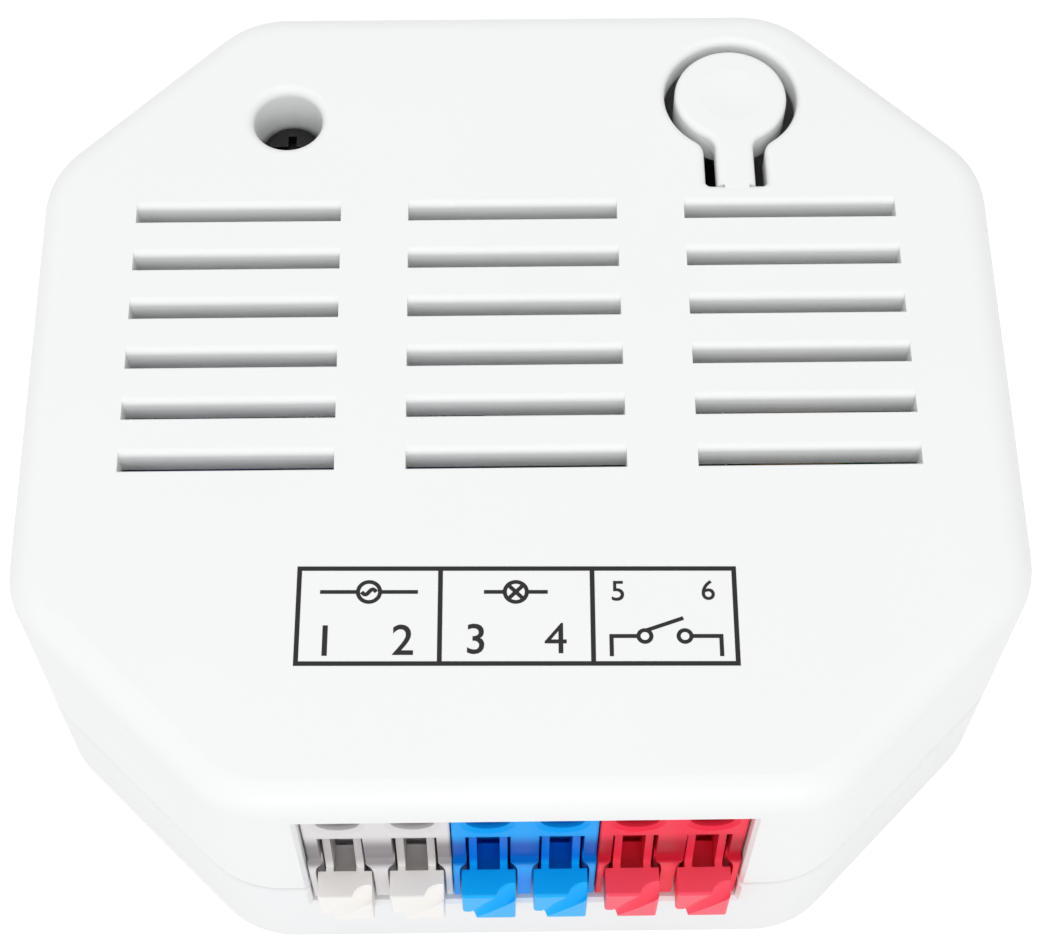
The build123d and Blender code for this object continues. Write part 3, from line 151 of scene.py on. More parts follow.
@dataclass(frozen=True)
class Finish:
    """Finish of one kind of surface.

    Attributes:
        name: Name of the surface, which its material's name starts with.
        colour: Red, green and blue as linear light.
        texture: Structure that the surface shows.
        roughness: Roughness in the middle of its range.
        metallic: 1 for a bare metal.
        grain: Size of the structure in millimetres.
        relief: Depth of the structure in millimetres.
        mottle: How far the colour strays from its middle.
        coat: Weight of a clear coat.
        specular: Level of the plain reflection.
    """

    name: str
    colour: tuple[float, float, float]
    texture: Texture = Texture.MOULDED
    roughness: float = 0.4
    metallic: float = 0.0
    grain: float = 0.12
    relief: float = 0.002
    mottle: float = 0.015
    coat: float = 0.0
    specular: float = 0.5

    def material(self) -> bpy.types.Material:
        """Builds the node material, or gives the one that was built before.

        Returns:
            The material.
        """
        full_name = self.name + "_finish"
        known = bpy.data.materials.get(full_name)
        if known is not None:
            return known
        made = bpy.data.materials.new(full_name)
        made.use_nodes = True
        made.diffuse_color = (*self.colour, 1.0)
        tree = made.node_tree
        surface = tree.nodes.new("ShaderNodeTexCoord").outputs["Object"]
        place = add_node(tree, "Mapping", {"Vector": surface, "Scale": self._stretch()}).outputs["Vector"]
        fine = self._structure(tree, place)
        drift = self._drift(tree, self._noise(tree, place, DRIFT_SCALE, DRIFT_OCTAVES), fine)
        entries = {"Strength": BUMP_STRENGTH, "Distance": self.relief * MM, "Height": fine}
        bump = add_node(tree, "Bump", entries)
        fill(tree, tree.nodes["Principled BSDF"], {
            "Base Color": self._colour(tree, drift), "Metallic": self.metallic,
            "Roughness": self._roughness(tree, fine), "Normal": bump.outputs["Normal"],
            "Specular IOR Level": self.specular, "Coat Weight": self.coat, "Coat Roughness": COAT_ROUGHNESS})
        return made

    def _structure(self, tree: NodeTree, place: NodeSocket) -> NodeSocket:
        """Adds the fine structure that the texture names.

        Args:
            tree: Node tree of the material.
            place: Place on the surface.

        Returns:
            The socket that carries its height.
        """
        scale = 1.0 / self.grain
        if self.texture is Texture.LAMINATE:
            return self._weave(tree, place)
        if self.texture is Texture.SINTERED:
            return add_node(tree, "TexVoronoi", {"Vector": place, "Scale": scale}).outputs["Distance"]
        return self._noise(tree, place, scale, OCTAVES.get(self.texture, PLAIN_OCTAVES))

    def _weave(self, tree: NodeTree, place: NodeSocket) -> NodeSocket:
        """Adds the weave of glass cloth: two sets of threads that cross.

        Args:
            tree: Node tree of the material.
            place: Place on the surface.

        Returns:
            The socket that carries their height.
        """
        entries = {"Vector": place, "Scale": THREAD_SCALE / self.grain, "Distortion": THREAD_DISTORTION,
                   "Detail Scale": THREAD_DETAIL}
        threads = [add_node(tree, "TexWave", entries, bands_direction=direction) for direction in ("X", "Y")]
        return add_math(tree, "MULTIPLY", *(thread.outputs["Fac"] for thread in threads))

    def _drift(self, tree: NodeTree, broad: NodeSocket, fine: NodeSocket) -> NodeSocket:
        """Joins the slow drift of the colour with a share of the fine structure."""
        entries = {MIX_FACTOR: FINE_SHARES.get(self.texture, PLAIN_SHARE), NUMBER_A: broad, NUMBER_B: fine}
        return add_node(tree, "Mix", entries).outputs[NUMBER_OUT]

    def _stretch(self) -> tuple[float, float, float]:
        """Gives the scale that turns metres into millimetres, drawn out along X for a brushed metal."""
        along = BRUSHED_STRETCH if self.texture is Texture.BRUSHED else 1.0
        return along / MM, 1.0 / MM, 1.0 / MM

    def _noise(self, tree: NodeTree, place: NodeSocket, scale: float, detail: float) -> NodeSocket:
        """Adds a noise with so many features per millimetre, and octaves in it."""
        return add_node(tree, "TexNoise", {"Vector": place, "Scale": scale, "Detail": detail}).outputs["Fac"]

    def _colour(self, tree: NodeTree, drift: NodeSocket) -> NodeSocket:
        """Gives a colour that drifts slowly round its middle.

        Args:
            tree: Node tree of the material.
            drift: Socket that steers the drift.

        Returns:
            The socket that carries the colour.
        """
        darker, lighter = ((*(min(1.0, channel * (1.0 + stray)) for channel in self.colour), 1.0)
                           for stray in (-self.mottle, self.mottle))
        return add_mix(tree, "MIX", drift, darker, lighter)

    def _roughness(self, tree: NodeTree, fine: NodeSocket) -> NodeSocket:
        """Gives a roughness that follows the fine structure.

        Args:
            tree: Node tree of the material.
            fine: Socket of the fine structure.

        Returns:
            The socket that carries it.
        """
        spread = ROUGHNESS_SPREAD * self.roughness
        entries = {"Value": fine, "To Min": self.roughness - spread, "To Max": self.roughness + spread}
        return add_node(tree, "MapRange", entries).outputs["Result"]


@dataclass(frozen=True)
class PaintedShadeFinish(Finish):
    """Finish of a moulding in the terminals, with shade painted into its colour where it is set back from
    the face.

    Attributes:
        shade: What the painted shade keeps of red, green and blue.
        depth: Y in millimetres where the shade starts, and where it is full.
        depth_from: Height in millimetres from which up the depth counts.
        fade: Height in millimetres over which it comes to count.
        band: Heights in millimetres where a band of painted shade starts, is full, is still full, and ends.
    """

    shade: tuple[float, float, float] = (1.0, 1.0, 1.0)
    depth: tuple[float, float] = (-22.3, -20.9)
    depth_from: float = 0.0
    fade: float = 0.2
    band: tuple[float, ...] = (9.2, 10.4, 14.0, 15.0)

    def _colour(self, tree: NodeTree, drift: NodeSocket) -> NodeSocket:
        """Paints shade into the drifting colour by depth and in the band.

        Args:
            tree: Node tree of the material.
            drift: Socket that steers the drift.

        Returns:
            The socket that carries the colour.
        """
        surface = tree.nodes.new("ShaderNodeTexCoord").outputs["Object"]
        axes = add_node(tree, "SeparateXYZ", {0: surface}).outputs
        white = (1.0, 1.0, 1.0)
        # Painted shade: the colour darkens with depth along Y, above a height if one is set, and in a band
        # of heights
        kept = self._ramp(tree, axes["Y"], tuple(zip(self.depth, (white, self.shade))))
        if self.depth_from:
            start = ((self.depth_from - self.fade, white), (self.depth_from, self.shade))
            kept = add_mix(tree, "LIGHTEN", 1.0, kept, self._ramp(tree, axes["Z"], start))
        stops = tuple(zip(self.band, (white, self.shade, self.shade, white)))
        kept = add_mix(tree, "DARKEN", 1.0, kept, self._ramp(tree, axes["Z"], stops))
        return add_mix(tree, "MULTIPLY", 1.0, super()._colour(tree, drift), kept)

    def _ramp(self, tree: NodeTree, value: NodeSocket,
              stops: tuple[tuple[float, tuple[float, float, float]], ...]) -> NodeSocket:
        """Adds a soft ramp of colours along one axis.

        Args:
            tree: Node tree of the material.
            value: Place along the axis, in metres.
            stops: Place in millimetres and colour of each stop.

        Returns:
            The socket that carries the colour.
        """
        first, last = stops[0][0], stops[-1][0]
        ranged = add_node(tree, "MapRange", {"Value": value, "From Min": first * MM, "From Max": last * MM})
        ramp = add_node(tree, "ValToRGB", {0: ranged.outputs["Result"]})
        ramp.color_ramp.interpolation = "EASE"
        elements = ramp.color_ramp.elements
        for place, colour in stops[1:-1]:
            elements.new((place - first) / (last - first)).color = (*colour, 1.0)
        elements[0].color = (*stops[0][1], 1.0)
        elements[len(elements) - 1].color = (*stops[-1][1], 1.0)
        return ramp.outputs["Color"]


CASE_WHITE = Finish("case_white", (0.90, 0.912, 0.912), roughness=0.42, specular=0.4)
TRAY_WHITE = Finish("tray_white", (0.89, 0.90, 0.905), roughness=0.45, specular=0.4)
# Painted shade of the housings: darker inside the wire entries and in the band beside the levers' pockets
HOUSING_SHADE = {"depth": (-22.05, -21.6), "depth_from": 14.1, "band": (10.1, 11.3, 12.5, 14.4)}
HOUSING_GREY = PaintedShadeFinish("housing_grey", (0.79, 0.762, 0.775), roughness=0.38, specular=0.08,
                          shade=(0.36, 0.34, 0.35), **HOUSING_SHADE)
HOUSING_BLUE = PaintedShadeFinish("housing_blue", (0.004, 0.38, 0.97), roughness=0.38, specular=0.06,
                          shade=(0.40, 0.25, 0.52), **HOUSING_SHADE)
HOUSING_RED = PaintedShadeFinish("housing_red", (0.96, 0.035, 0.075), roughness=0.38, specular=0.06,
                         shade=(0.51, 0.30, 0.34), **HOUSING_SHADE)
# Painted shade of the levers: darker on the arms and the web where they lie back in the pockets
LEVER_IVORY = PaintedShadeFinish("lever_ivory", (0.94, 0.915, 0.885), roughness=0.36, specular=0.3,
                         shade=(0.60, 0.585, 0.60))
LEVER_BLUE = PaintedShadeFinish("lever_blue", (0.002, 0.46, 0.99), roughness=0.34, specular=0.15,
                        shade=(0.50, 0.40, 0.80))
LEVER_RED = PaintedShadeFinish("lever_red", (0.98, 0.085, 0.14), roughness=0.34, specular=0.15,
                       shade=(0.88, 0.36, 0.50))
SCREW_BLACK = Finish("screw_black", (0.03, 0.03, 0.032), Texture.BRUSHED, 0.35, 0.8, relief=0.004)
BOARD_GREEN = Finish("board_green", (0.010, 0.14, 0.05), Texture.LAMINATE, 0.28, grain=0.25, relief=0.006,
                     mottle=0.25)
TRACE_GREEN = Finish("trace_green", (0.03, 0.26, 0.09), Texture.POLISHED, 0.25, grain=0.5, mottle=0.1)
TINNED_BRASS = Finish("tinned_brass", (0.72, 0.68, 0.56), Texture.BRUSHED, 0.3, 1.0, mottle=0.08)
SOLDER_TIN = Finish("solder_tin", (0.70, 0.70, 0.69), Texture.POLISHED, 0.22, 1.0, grain=0.4, mottle=0.08)
SPRING_STEEL = Finish("spring_steel", (0.62, 0.62, 0.62), Texture.BRUSHED, 0.25, 1.0, mottle=0.06)
RELAY_BLUE = Finish("relay_blue", (0.012, 0.05, 0.22), roughness=0.3)
RELAY_BLACK = Finish("relay_black", (0.02, 0.02, 0.022), roughness=0.45)
SOFT_IRON = Finish("soft_iron", (0.42, 0.42, 0.43), Texture.BRUSHED, 0.35, 1.0, mottle=0.08)
WINDING_COPPER = Finish("winding_copper", (0.55, 0.17, 0.045), Texture.POLISHED, 0.25, 0.9, coat=0.6,
                        mottle=0.12)
WINDING_TAPE = Finish("winding_tape", (0.72, 0.50, 0.03), Texture.POLISHED, 0.22, grain=1.2, coat=0.5,
                      mottle=0.06)
FERRITE = Finish("ferrite", (0.035, 0.035, 0.038), Texture.SINTERED, 0.55, grain=0.18, relief=0.012,
                 mottle=0.3)
CAPACITOR_YELLOW = Finish("capacitor_yellow", (0.30, 0.20, 0.03), roughness=0.3)
CAPACITOR_SLEEVE = Finish("capacitor_sleeve", (0.015, 0.02, 0.035), Texture.POLISHED, 0.22, grain=0.9,
                          coat=0.4)
CAPACITOR_MARK = Finish("capacitor_mark", (0.62, 0.62, 0.60), Texture.PRINTED, 0.35)
CAN_ALUMINIUM = Finish("can_aluminium", (0.78, 0.78, 0.78), Texture.BRUSHED, 0.3, 1.0, mottle=0.05)
VARISTOR_BLUE = Finish("varistor_blue", (0.01, 0.07, 0.32), Texture.POLISHED, 0.3, grain=0.7, relief=0.01,
                       coat=0.3)
COMPONENT_BLACK = Finish("component_black", (0.022, 0.022, 0.024), roughness=0.5)
SHIELD_TIN = Finish("shield_tin", (0.66, 0.66, 0.65), Texture.BRUSHED, 0.28, 1.0, mottle=0.05)
LAMP_LENS = Finish("lamp_lens", (0.62, 0.75, 0.55), Texture.POLISHED, 0.15, coat=0.5)
ANTENNA_GOLD = Finish("antenna_gold", (0.83, 0.56, 0.18), Texture.BRUSHED, 0.25, 1.0)
SILK_WHITE = Finish("silk_white", (0.80, 0.80, 0.78), Texture.PRINTED, 0.55, grain=0.08, mottle=0.06)
PRINT_INK = Finish("print_ink", (0.022, 0.023, 0.021), Texture.PRINTED, 0.6, grain=0.08, mottle=0.25,
                   specular=0.2)

BLOCK_PLACES = ("left", "centre", "right")
NODE_FINISHES = {
    "top_cover": CASE_WHITE, "base_tray": TRAY_WHITE, "press_button": CASE_WHITE,
    "tact_switch": COMPONENT_BLACK, "tact_plunger": COMPONENT_BLACK, "case_screw": SCREW_BLACK,
    "circuit_board": BOARD_GREEN, "relay_case": RELAY_BLUE, "relay_base": RELAY_BLACK,
    "relay_coil": RELAY_BLACK, "relay_yoke": SOFT_IRON, "relay_armature": SOFT_IRON,
    "relay_pins": TINNED_BRASS, "transformer_core": FERRITE, "transformer_winding": WINDING_TAPE,
    "transformer_pins": TINNED_BRASS, "mains_capacitor": CAPACITOR_YELLOW,
    "bulk_capacitor": CAPACITOR_SLEEVE, "output_capacitor": CAPACITOR_SLEEVE, "varistor": VARISTOR_BLUE,
    "fuse": COMPONENT_BLACK, "choke": FERRITE, "rectifier": COMPONENT_BLACK, "optocoupler": COMPONENT_BLACK,
    "radio_board": BOARD_GREEN, "radio_shield": SHIELD_TIN, "radio_headers": COMPONENT_BLACK,
    "status_led": LAMP_LENS, "thermistor": VARISTOR_BLUE,
    "terminal_left": HOUSING_GREY, "terminal_centre": HOUSING_BLUE, "terminal_right": HOUSING_RED,
    "lever_1": LEVER_IVORY, "lever_2": LEVER_IVORY, "lever_3": LEVER_BLUE, "lever_4": LEVER_BLUE,
    "lever_5": LEVER_RED, "lever_6": LEVER_RED,
}
for place in BLOCK_PLACES:
    NODE_FINISHES["contact_bars_" + place] = TINNED_BRASS
    NODE_FINISHES["clamp_springs_" + place] = SPRING_STEEL


def dress_nodes() -> None:
    """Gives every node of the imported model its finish."""
    for name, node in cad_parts.items():
        material = NODE_FINISHES[name].material()
        node.data.materials.clear()
        node.data.materials.append(material)
        LOG.info("dressed %s with %s", name, material.name)


def to_data(name: str, mesh: BMesh) -> bpy.types.Mesh:
    """Turns a bmesh into mesh data, and frees it.

    Args:
        name: Name of the data.
        mesh: The bmesh.

    Returns:
        The data.
    """
    data = bpy.data.meshes.new(name)
    mesh.to_mesh(data)
    mesh.free()
    return data


def merge(mesh: BMesh, part: BMesh) -> None:
    """Adds a bmesh to another one, and frees it.

    Args:
        mesh: The bmesh that it goes into.
        part: The bmesh that is added.
    """
    data = to_data("part", part)
    mesh.from_mesh(data)
    bpy.data.meshes.remove(data)


def add_object(name: str, data: bpy.types.ID) -> bpy.types.Object:
    """Puts an object into the scene.

    Args:
        name: Its name.
        data: Its mesh, lamp or camera.

    Returns:
        The object.
    """
    made = bpy.data.objects.new(name, data)
    bpy.context.scene.collection.objects.link(made)
    return made


def corners(node: str) -> tuple[Vector, Vector]:
    """Gives the lowest and the highest corner of a node at rest."""
    low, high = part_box(node)
    return Vector(low), Vector(high)


def add_piece(name: str, mesh: BMesh, finish: Finish,
              body: str | None = CASE_BODY, smooth: bool = False) -> bpy.types.Object:
    """Turns a bmesh into a piece that rides on a body.

    Args:
        name: Name of the piece.
        mesh: Its shape in the shared frame, which is freed.
        finish: Its finish.
        body: The body that it moves with, or None to leave it on no body.
        smooth: Whether its faces are shaded round, sharp edges apart.

    Returns:
        The piece.
    """
    data = to_data(name, mesh)
    piece = add_object(name, data)
    data.materials.append(finish.material())
    if smooth:
        data.shade_smooth()
        data.set_sharp_from_angle(angle=SMOOTH_ANGLE)
    if body is not None:
        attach(piece, body)
    LOG.info("built %s", name)
    return piece


def curve_mesh(mesh: BMesh, points: list[Vector], radius: float, closed: bool = False,
               place: Matrix | None = None) -> None:
    """Adds a round wire along a line to a bmesh.

    Args:
        mesh: The bmesh that it goes into.
        points: Points that the line passes.
        radius: Radius of the wire.
        closed: Whether the line ends where it starts.
        place: Transform that the wire gets, if any.
    """
    curve = bpy.data.curves.new("line", "CURVE")
    curve.dimensions = "3D"
    curve.bevel_depth = radius
    curve.bevel_resolution = WIRE_RESOLUTION
    curve.use_fill_caps = not closed
    spline = curve.splines.new("POLY")
    spline.points.add(len(points) - 1)
    for knot, point in zip(spline.points, points):
        knot.co = (*point, 1.0)
    spline.use_cyclic_u = closed
    add_made(mesh, curve, place)


def add_made(mesh: BMesh, source: bpy.types.Curve, place: Matrix | None = None) -> None:
    """Makes a curve or a text into a mesh, and adds it to a bmesh.

    Args:
        mesh: The bmesh that it goes into.
        source: The curve or text.
        place: Transform that it gets, if any.
    """
    holder = bpy.data.objects.new("holder", source)
    data = bpy.data.meshes.new_from_object(holder)
    if place is not None:
        data.transform(place)
    mesh.from_mesh(data)
    bpy.data.objects.remove(holder)
    bpy.data.meshes.remove(data)
    bpy.data.curves.remove(source)


def add_box(mesh: BMesh, low: Vector, high: Vector) -> None:
    """Adds a box between two corners.

    Args:
        mesh: The bmesh that it goes into.
        low: Its lowest corner.
        high: Its highest corner.
    """
    middle, size = (low + high) / 2, high - low
    place = Matrix.Translation(middle) @ Matrix.Diagonal((*size, 1.0))
    bmesh.ops.create_cube(mesh, size=1.0, matrix=place)


def add_lathe(mesh: BMesh, profile: list[tuple[float, float]], place: Matrix, steps: int) -> None:
    """Turns a profile round its own upright axis and puts the shape in its place.

    Args:
        mesh: The bmesh that the shape goes into.
        profile: Radius and height of each point, in metres.
        place: Where the axis goes.
        steps: Steps of the turn.
    """
    turned = bmesh.new()
    chain = [turned.verts.new((radius, 0.0, height)) for radius, height in profile]
    edges = [turned.edges.new(pair) for pair in zip(chain, chain[1:])]
    bmesh.ops.spin(turned, geom=chain + edges, cent=(0, 0, 0), axis=(0, 0, 1), angle=math.tau, steps=steps,
                   use_merge=True)
    bmesh.ops.remove_doubles(turned, verts=turned.verts, dist=MERGE_REACH)
    bmesh.ops.recalc_face_normals(turned, faces=turned.faces)
    bmesh.ops.transform(turned, matrix=place, verts=turned.verts)
    merge(mesh, turned)


def loose_boxes(node: str) -> list[tuple[Vector, Vector]]:
    """Finds the separate solids of a node.

    Args:
        node: Name of the node.

    Returns:
        The lowest and the highest corner of each, from left to right.
    """
    mesh = bmesh.new()
    mesh.from_mesh(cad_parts[node].data)
    bmesh.ops.remove_doubles(mesh, verts=mesh.verts, dist=MERGE_REACH)
    unseen = set(mesh.verts)
    boxes = []
    while unseen:
        group, waiting = [], [unseen.pop()]
        while waiting:
            vertex = waiting.pop()
            group.append(vertex.co.copy())
            for edge in vertex.link_edges:
                other = edge.other_vert(vertex)
                if other in unseen:
                    unseen.remove(other)
                    waiting.append(other)
        boxes.append(tuple(Vector([pick(point[axis] for point in group) for axis in range(3)])
                           for pick in (min, max)))
    mesh.free()
    return sorted(boxes, key=lambda box: (round(box[0].x, ORDER_DIGITS), round(box[0].y, ORDER_DIGITS)))


@dataclass
class PrintedTable:
    """Table printed on the cover over the terminals: three cells with plain numbers and wiring symbols.

    Places in it are measured from its middle.

    Attributes:
        middle: X and Y of its middle on the cover.
        width: Its width.
        depth: Its depth.
        dividers: X of the two inner lines.
        line: Width of a frame line.
        symbol_line: Width of a symbol's line.
        bold: How far the numbers are thickened, in shares of their size.
        plain: Digits that aren't thickened, because the hole in them would close.
        ink: Thickness of the ink.
        turn: How far it is turned on the cover, in degrees.
        numbers: Text, height, X and Y of each number.
        curve_steps: Steps of a number's curves.
        upper_row: Y of the supply and the lamp.
        circle_radius: Radius of their circles.
        circle_steps: Steps of a circle.
        supply: X of the supply, and reach of its leads.
        wave: Reach of its wave as a share of the circle's radius, and rise as a share of that reach.
        wave_steps: Steps of half the wave.
        lamp: X of the lamp, and reach of its leads.
        contact_y: Y of the open switch's contacts.
        contact_radius: Radius of a contact.
        contacts: X of each contact, and X where its lead turns down.
        lead_drop: How far these leads go down.
        blade: X of the blade's two ends, and their height over the contacts.
        mesh: The ink so far.
    """

    middle: tuple[float, float] = (-0.28 * MM, -13.33 * MM)
    width: float = 20.5 * MM
    depth: float = 4.87 * MM
    dividers: tuple[float, float] = (-3.6 * MM, 3.55 * MM)
    line: float = 0.225 * MM
    symbol_line: float = 0.195 * MM
    bold: float = 0.006
    plain: str = "4"
    ink: float = 0.012 * MM
    turn: float = -0.65
    numbers: tuple[tuple[str, float, float, float], ...] = (
        ("1", 1.54 * MM, -8.94 * MM, -1.27 * MM), ("2", 1.54 * MM, -5.31 * MM, -1.23 * MM),
        ("3", 1.54 * MM, -1.92 * MM, -1.19 * MM), ("4", 1.54 * MM, 1.80 * MM, -1.15 * MM),
        ("5", 1.03 * MM, 4.75 * MM, 1.27 * MM), ("6", 1.03 * MM, 9.0 * MM, 1.31 * MM))
    curve_steps: int = 4
    upper_row: float = 1.22 * MM
    circle_radius: float = 0.52 * MM
    circle_steps: int = 32
    supply: tuple[float, float] = (-6.95 * MM, 2.3 * MM)
    wave: tuple[float, float] = (0.66, 0.4)
    wave_steps: int = 8
    lamp: tuple[float, float] = (-0.05 * MM, 1.5 * MM)
    contact_y: float = -1.05 * MM
    contact_radius: float = 0.30 * MM
    contacts: tuple[tuple[float, float], ...] = ((5.96 * MM, 4.40 * MM), (7.83 * MM, 9.52 * MM))
    lead_drop: float = 1.02 * MM
    blade: tuple[tuple[float, float], ...] = ((6.06 * MM, 0.30 * MM), (7.78 * MM, 0.92 * MM))
    mesh: BMesh = field(default_factory=bmesh.new)

    def build(self) -> None:
        """Builds the frame, the symbols and the numbers as one piece of ink."""
        half_x, half_y, half_line = self.width / 2, self.depth / 2, self.line / 2
        for y in (-half_y, half_y):
            self._stroke((-half_x - half_line, y), (half_x + half_line, y), self.line)
        for x in (-half_x, *self.dividers, half_x):
            self._stroke((x, half_line - half_y), (x, half_y - half_line), self.line)
        self._supply()
        self._lamp()
        self._open_switch()
        for text, height, x, y in self.numbers:
            self._number(text, height, (x, y))
        self._place()
        add_piece("printed_table", self.mesh, PRINT_INK)

    def _supply(self) -> None:
        """Draws the supply: a round symbol with one wave in it."""
        reach, rise = self.wave
        reach *= self.circle_radius
        turns = [step / self.wave_steps for step in range(-self.wave_steps, self.wave_steps + 1)]
        wave = [(turn * reach, rise * reach * math.sin(math.pi * turn)) for turn in turns]
        self._round_symbol(*self.supply, [wave])

    def _lamp(self) -> None:
        """Draws the lamp: a round symbol with a cross in it."""
        reach = self.circle_radius * math.sqrt(0.5)
        cross = [[(-reach, -side * reach), (reach, side * reach)] for side in (-1, 1)]
        self._round_symbol(*self.lamp, cross)

    def _round_symbol(self, x: float, reach: float, lines: list[list[tuple[float, float]]]) -> None:
        """Draws lines in a circle with a lead on either side.

        Args:
            x: X of its middle.
            reach: How far the leads reach from there.
            lines: Points of each line in the circle, from there.
        """
        middle = Vector((x, self.upper_row))
        for line in lines:
            self._pen([middle + Vector(point) for point in line])
        self._circle(middle, self.circle_radius)
        for side in (-1, 1):
            self._pen([middle + Vector((side * end, 0)) for end in (self.circle_radius, reach)])

    def _open_switch(self) -> None:
        """Draws the open switch: two contacts on bent leads, and a blade that rises from the left one."""
        level, half_line = self.contact_y, self.symbol_line / 2
        for x, outer in self.contacts:
            side = 1 if outer > x else -1
            self._circle(Vector((x, level)), self.contact_radius)
            start, end = x + side * self.contact_radius, outer + side * half_line
            self._stroke((start, level), (end, level), self.symbol_line)
            self._stroke((outer, level - half_line), (outer, level - self.lead_drop), self.symbol_line)
        self._pen([Vector((x, level + rise)) for x, rise in self.blade])

    def _circle(self, middle: Vector, radius: float) -> None:
        """Draws a circle with the symbols' line.

        Args:
            middle: Its middle.
            radius: Its radius.
        """
        angles = [step * math.tau / self.circle_steps for step in range(self.circle_steps)]
        around = [middle + radius * Vector((math.cos(angle), math.sin(angle))) for angle in angles]
        self._pen(around, closed=True)

    def _pen(self, points: list[Vector], closed: bool = False) -> None:
        """Draws a line of ink, flat and with soft edges.

        Args:
            points: Points of the line.
            closed: Whether it ends where it starts.
        """
        squash = Matrix.Diagonal((1, 1, self.ink / self.symbol_line, 1))
        flat = Matrix.Translation((0, 0, self.ink / 2)) @ squash
        curve_mesh(self.mesh, [point.to_3d() for point in points], self.symbol_line / 2, closed, flat)

    def _stroke(self, start: tuple[float, float], end: tuple[float, float], width: float) -> None:
        """Draws a straight stroke of ink with square ends.

        Args:
            start: X and Y of its start.
            end: X and Y of its end.
            width: Its width.
        """
        run = Vector(end) - Vector(start)
        middle = (Vector(start) + Vector(end)) / 2
        place = (Matrix.Translation((middle.x, middle.y, self.ink / 2))
                 @ Matrix.Rotation(math.atan2(run.y, run.x), 4, "Z")
                 @ Matrix.Diagonal((run.length, width, self.ink, 1.0)))
        bmesh.ops.create_cube(self.mesh, size=1.0, matrix=place)

    def _number(self, text: str, height: float, middle: tuple[float, float]) -> None:
        """Draws a number, which is one unit thick at first, so that its scale in Z is the ink's thickness.

        Args:
            text: The number.
            height: Height of its digits.
            middle: X and Y of its middle.
        """
        figure = bpy.data.curves.new("figure", "FONT")
        figure.body = text
        figure.extrude = 0.5
        figure.offset = 0.0 if text in self.plain else self.bold
        figure.resolution_u = self.curve_steps
        holder = bpy.data.objects.new("figure_holder", figure)
        data = bpy.data.meshes.new_from_object(holder)
        spans = [(min(line), max(line)) for line in zip(*(point.co for point in data.vertices))]
        bpy.data.objects.remove(holder)
        bpy.data.meshes.remove(data)
        scale = height / (spans[1][1] - spans[1][0])
        foot = Vector((sum(spans[0]) / 2, sum(spans[1]) / 2, spans[2][0]))
        place = (Matrix.Translation((*middle, 0)) @ Matrix.Diagonal((scale, scale, self.ink, 1.0))
                 @ Matrix.Translation(-foot))
        add_made(self.mesh, figure, place)

    def _place(self) -> None:
        """Turns the ink and moves it onto the cover."""
        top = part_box("top_cover")[1][2]
        place = Matrix.Translation((*self.middle, top)) @ Matrix.Rotation(math.radians(self.turn), 4, "Z")
        bmesh.ops.transform(self.mesh, matrix=place, verts=self.mesh.verts)


@dataclass
class TongueRoot:
    """Skin over the seam where the press button's tongue runs into the cover.

    Attributes:
        half_width: Half its width, which stays on the tongue's flat middle.
        reach: How far it reaches to either side of the seam.
        skin: Its thickness in the middle.
        rim: Thickness at its rim, as a share of the skin.
        rows: Faces along each side, which let its top dome.
    """

    half_width: float = 0.64 * MM
    reach: float = 0.35 * MM
    skin: float = 0.008 * MM
    rim: float = 0.04
    rows: int = 6

    def build(self) -> None:
        """Builds the skin, which spans the seam from the cover to the button."""
        low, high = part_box("press_button")
        root = Vector(((low[0] + high[0]) / 2, low[1], high[2]))
        mesh = bmesh.new()
        place = (Matrix.Translation(root + Vector((0, 0, self.skin / 2)))
                 @ Matrix.Diagonal((2 * self.half_width, 2 * self.reach, self.skin, 1.0)))
        bmesh.ops.create_cube(mesh, size=1.0, matrix=place)
        level = [edge for edge in mesh.edges if abs(edge.verts[0].co.z - edge.verts[1].co.z) < self.skin / 2]
        bmesh.ops.subdivide_edges(mesh, edges=level, cuts=self.rows - 1, use_grid_fill=True)
        for vertex in mesh.verts:
            across, ahead, up = vertex.co - root
            if up > self.skin / 2:
                dome = (1 - (across / self.half_width) ** 2) * (1 - (ahead / self.reach) ** 2)
                vertex.co.z = root.z + self.skin * max(dome, self.rim)
        piece = add_piece("tongue_root", mesh, CASE_WHITE, body=None, smooth=True)
        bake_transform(piece)


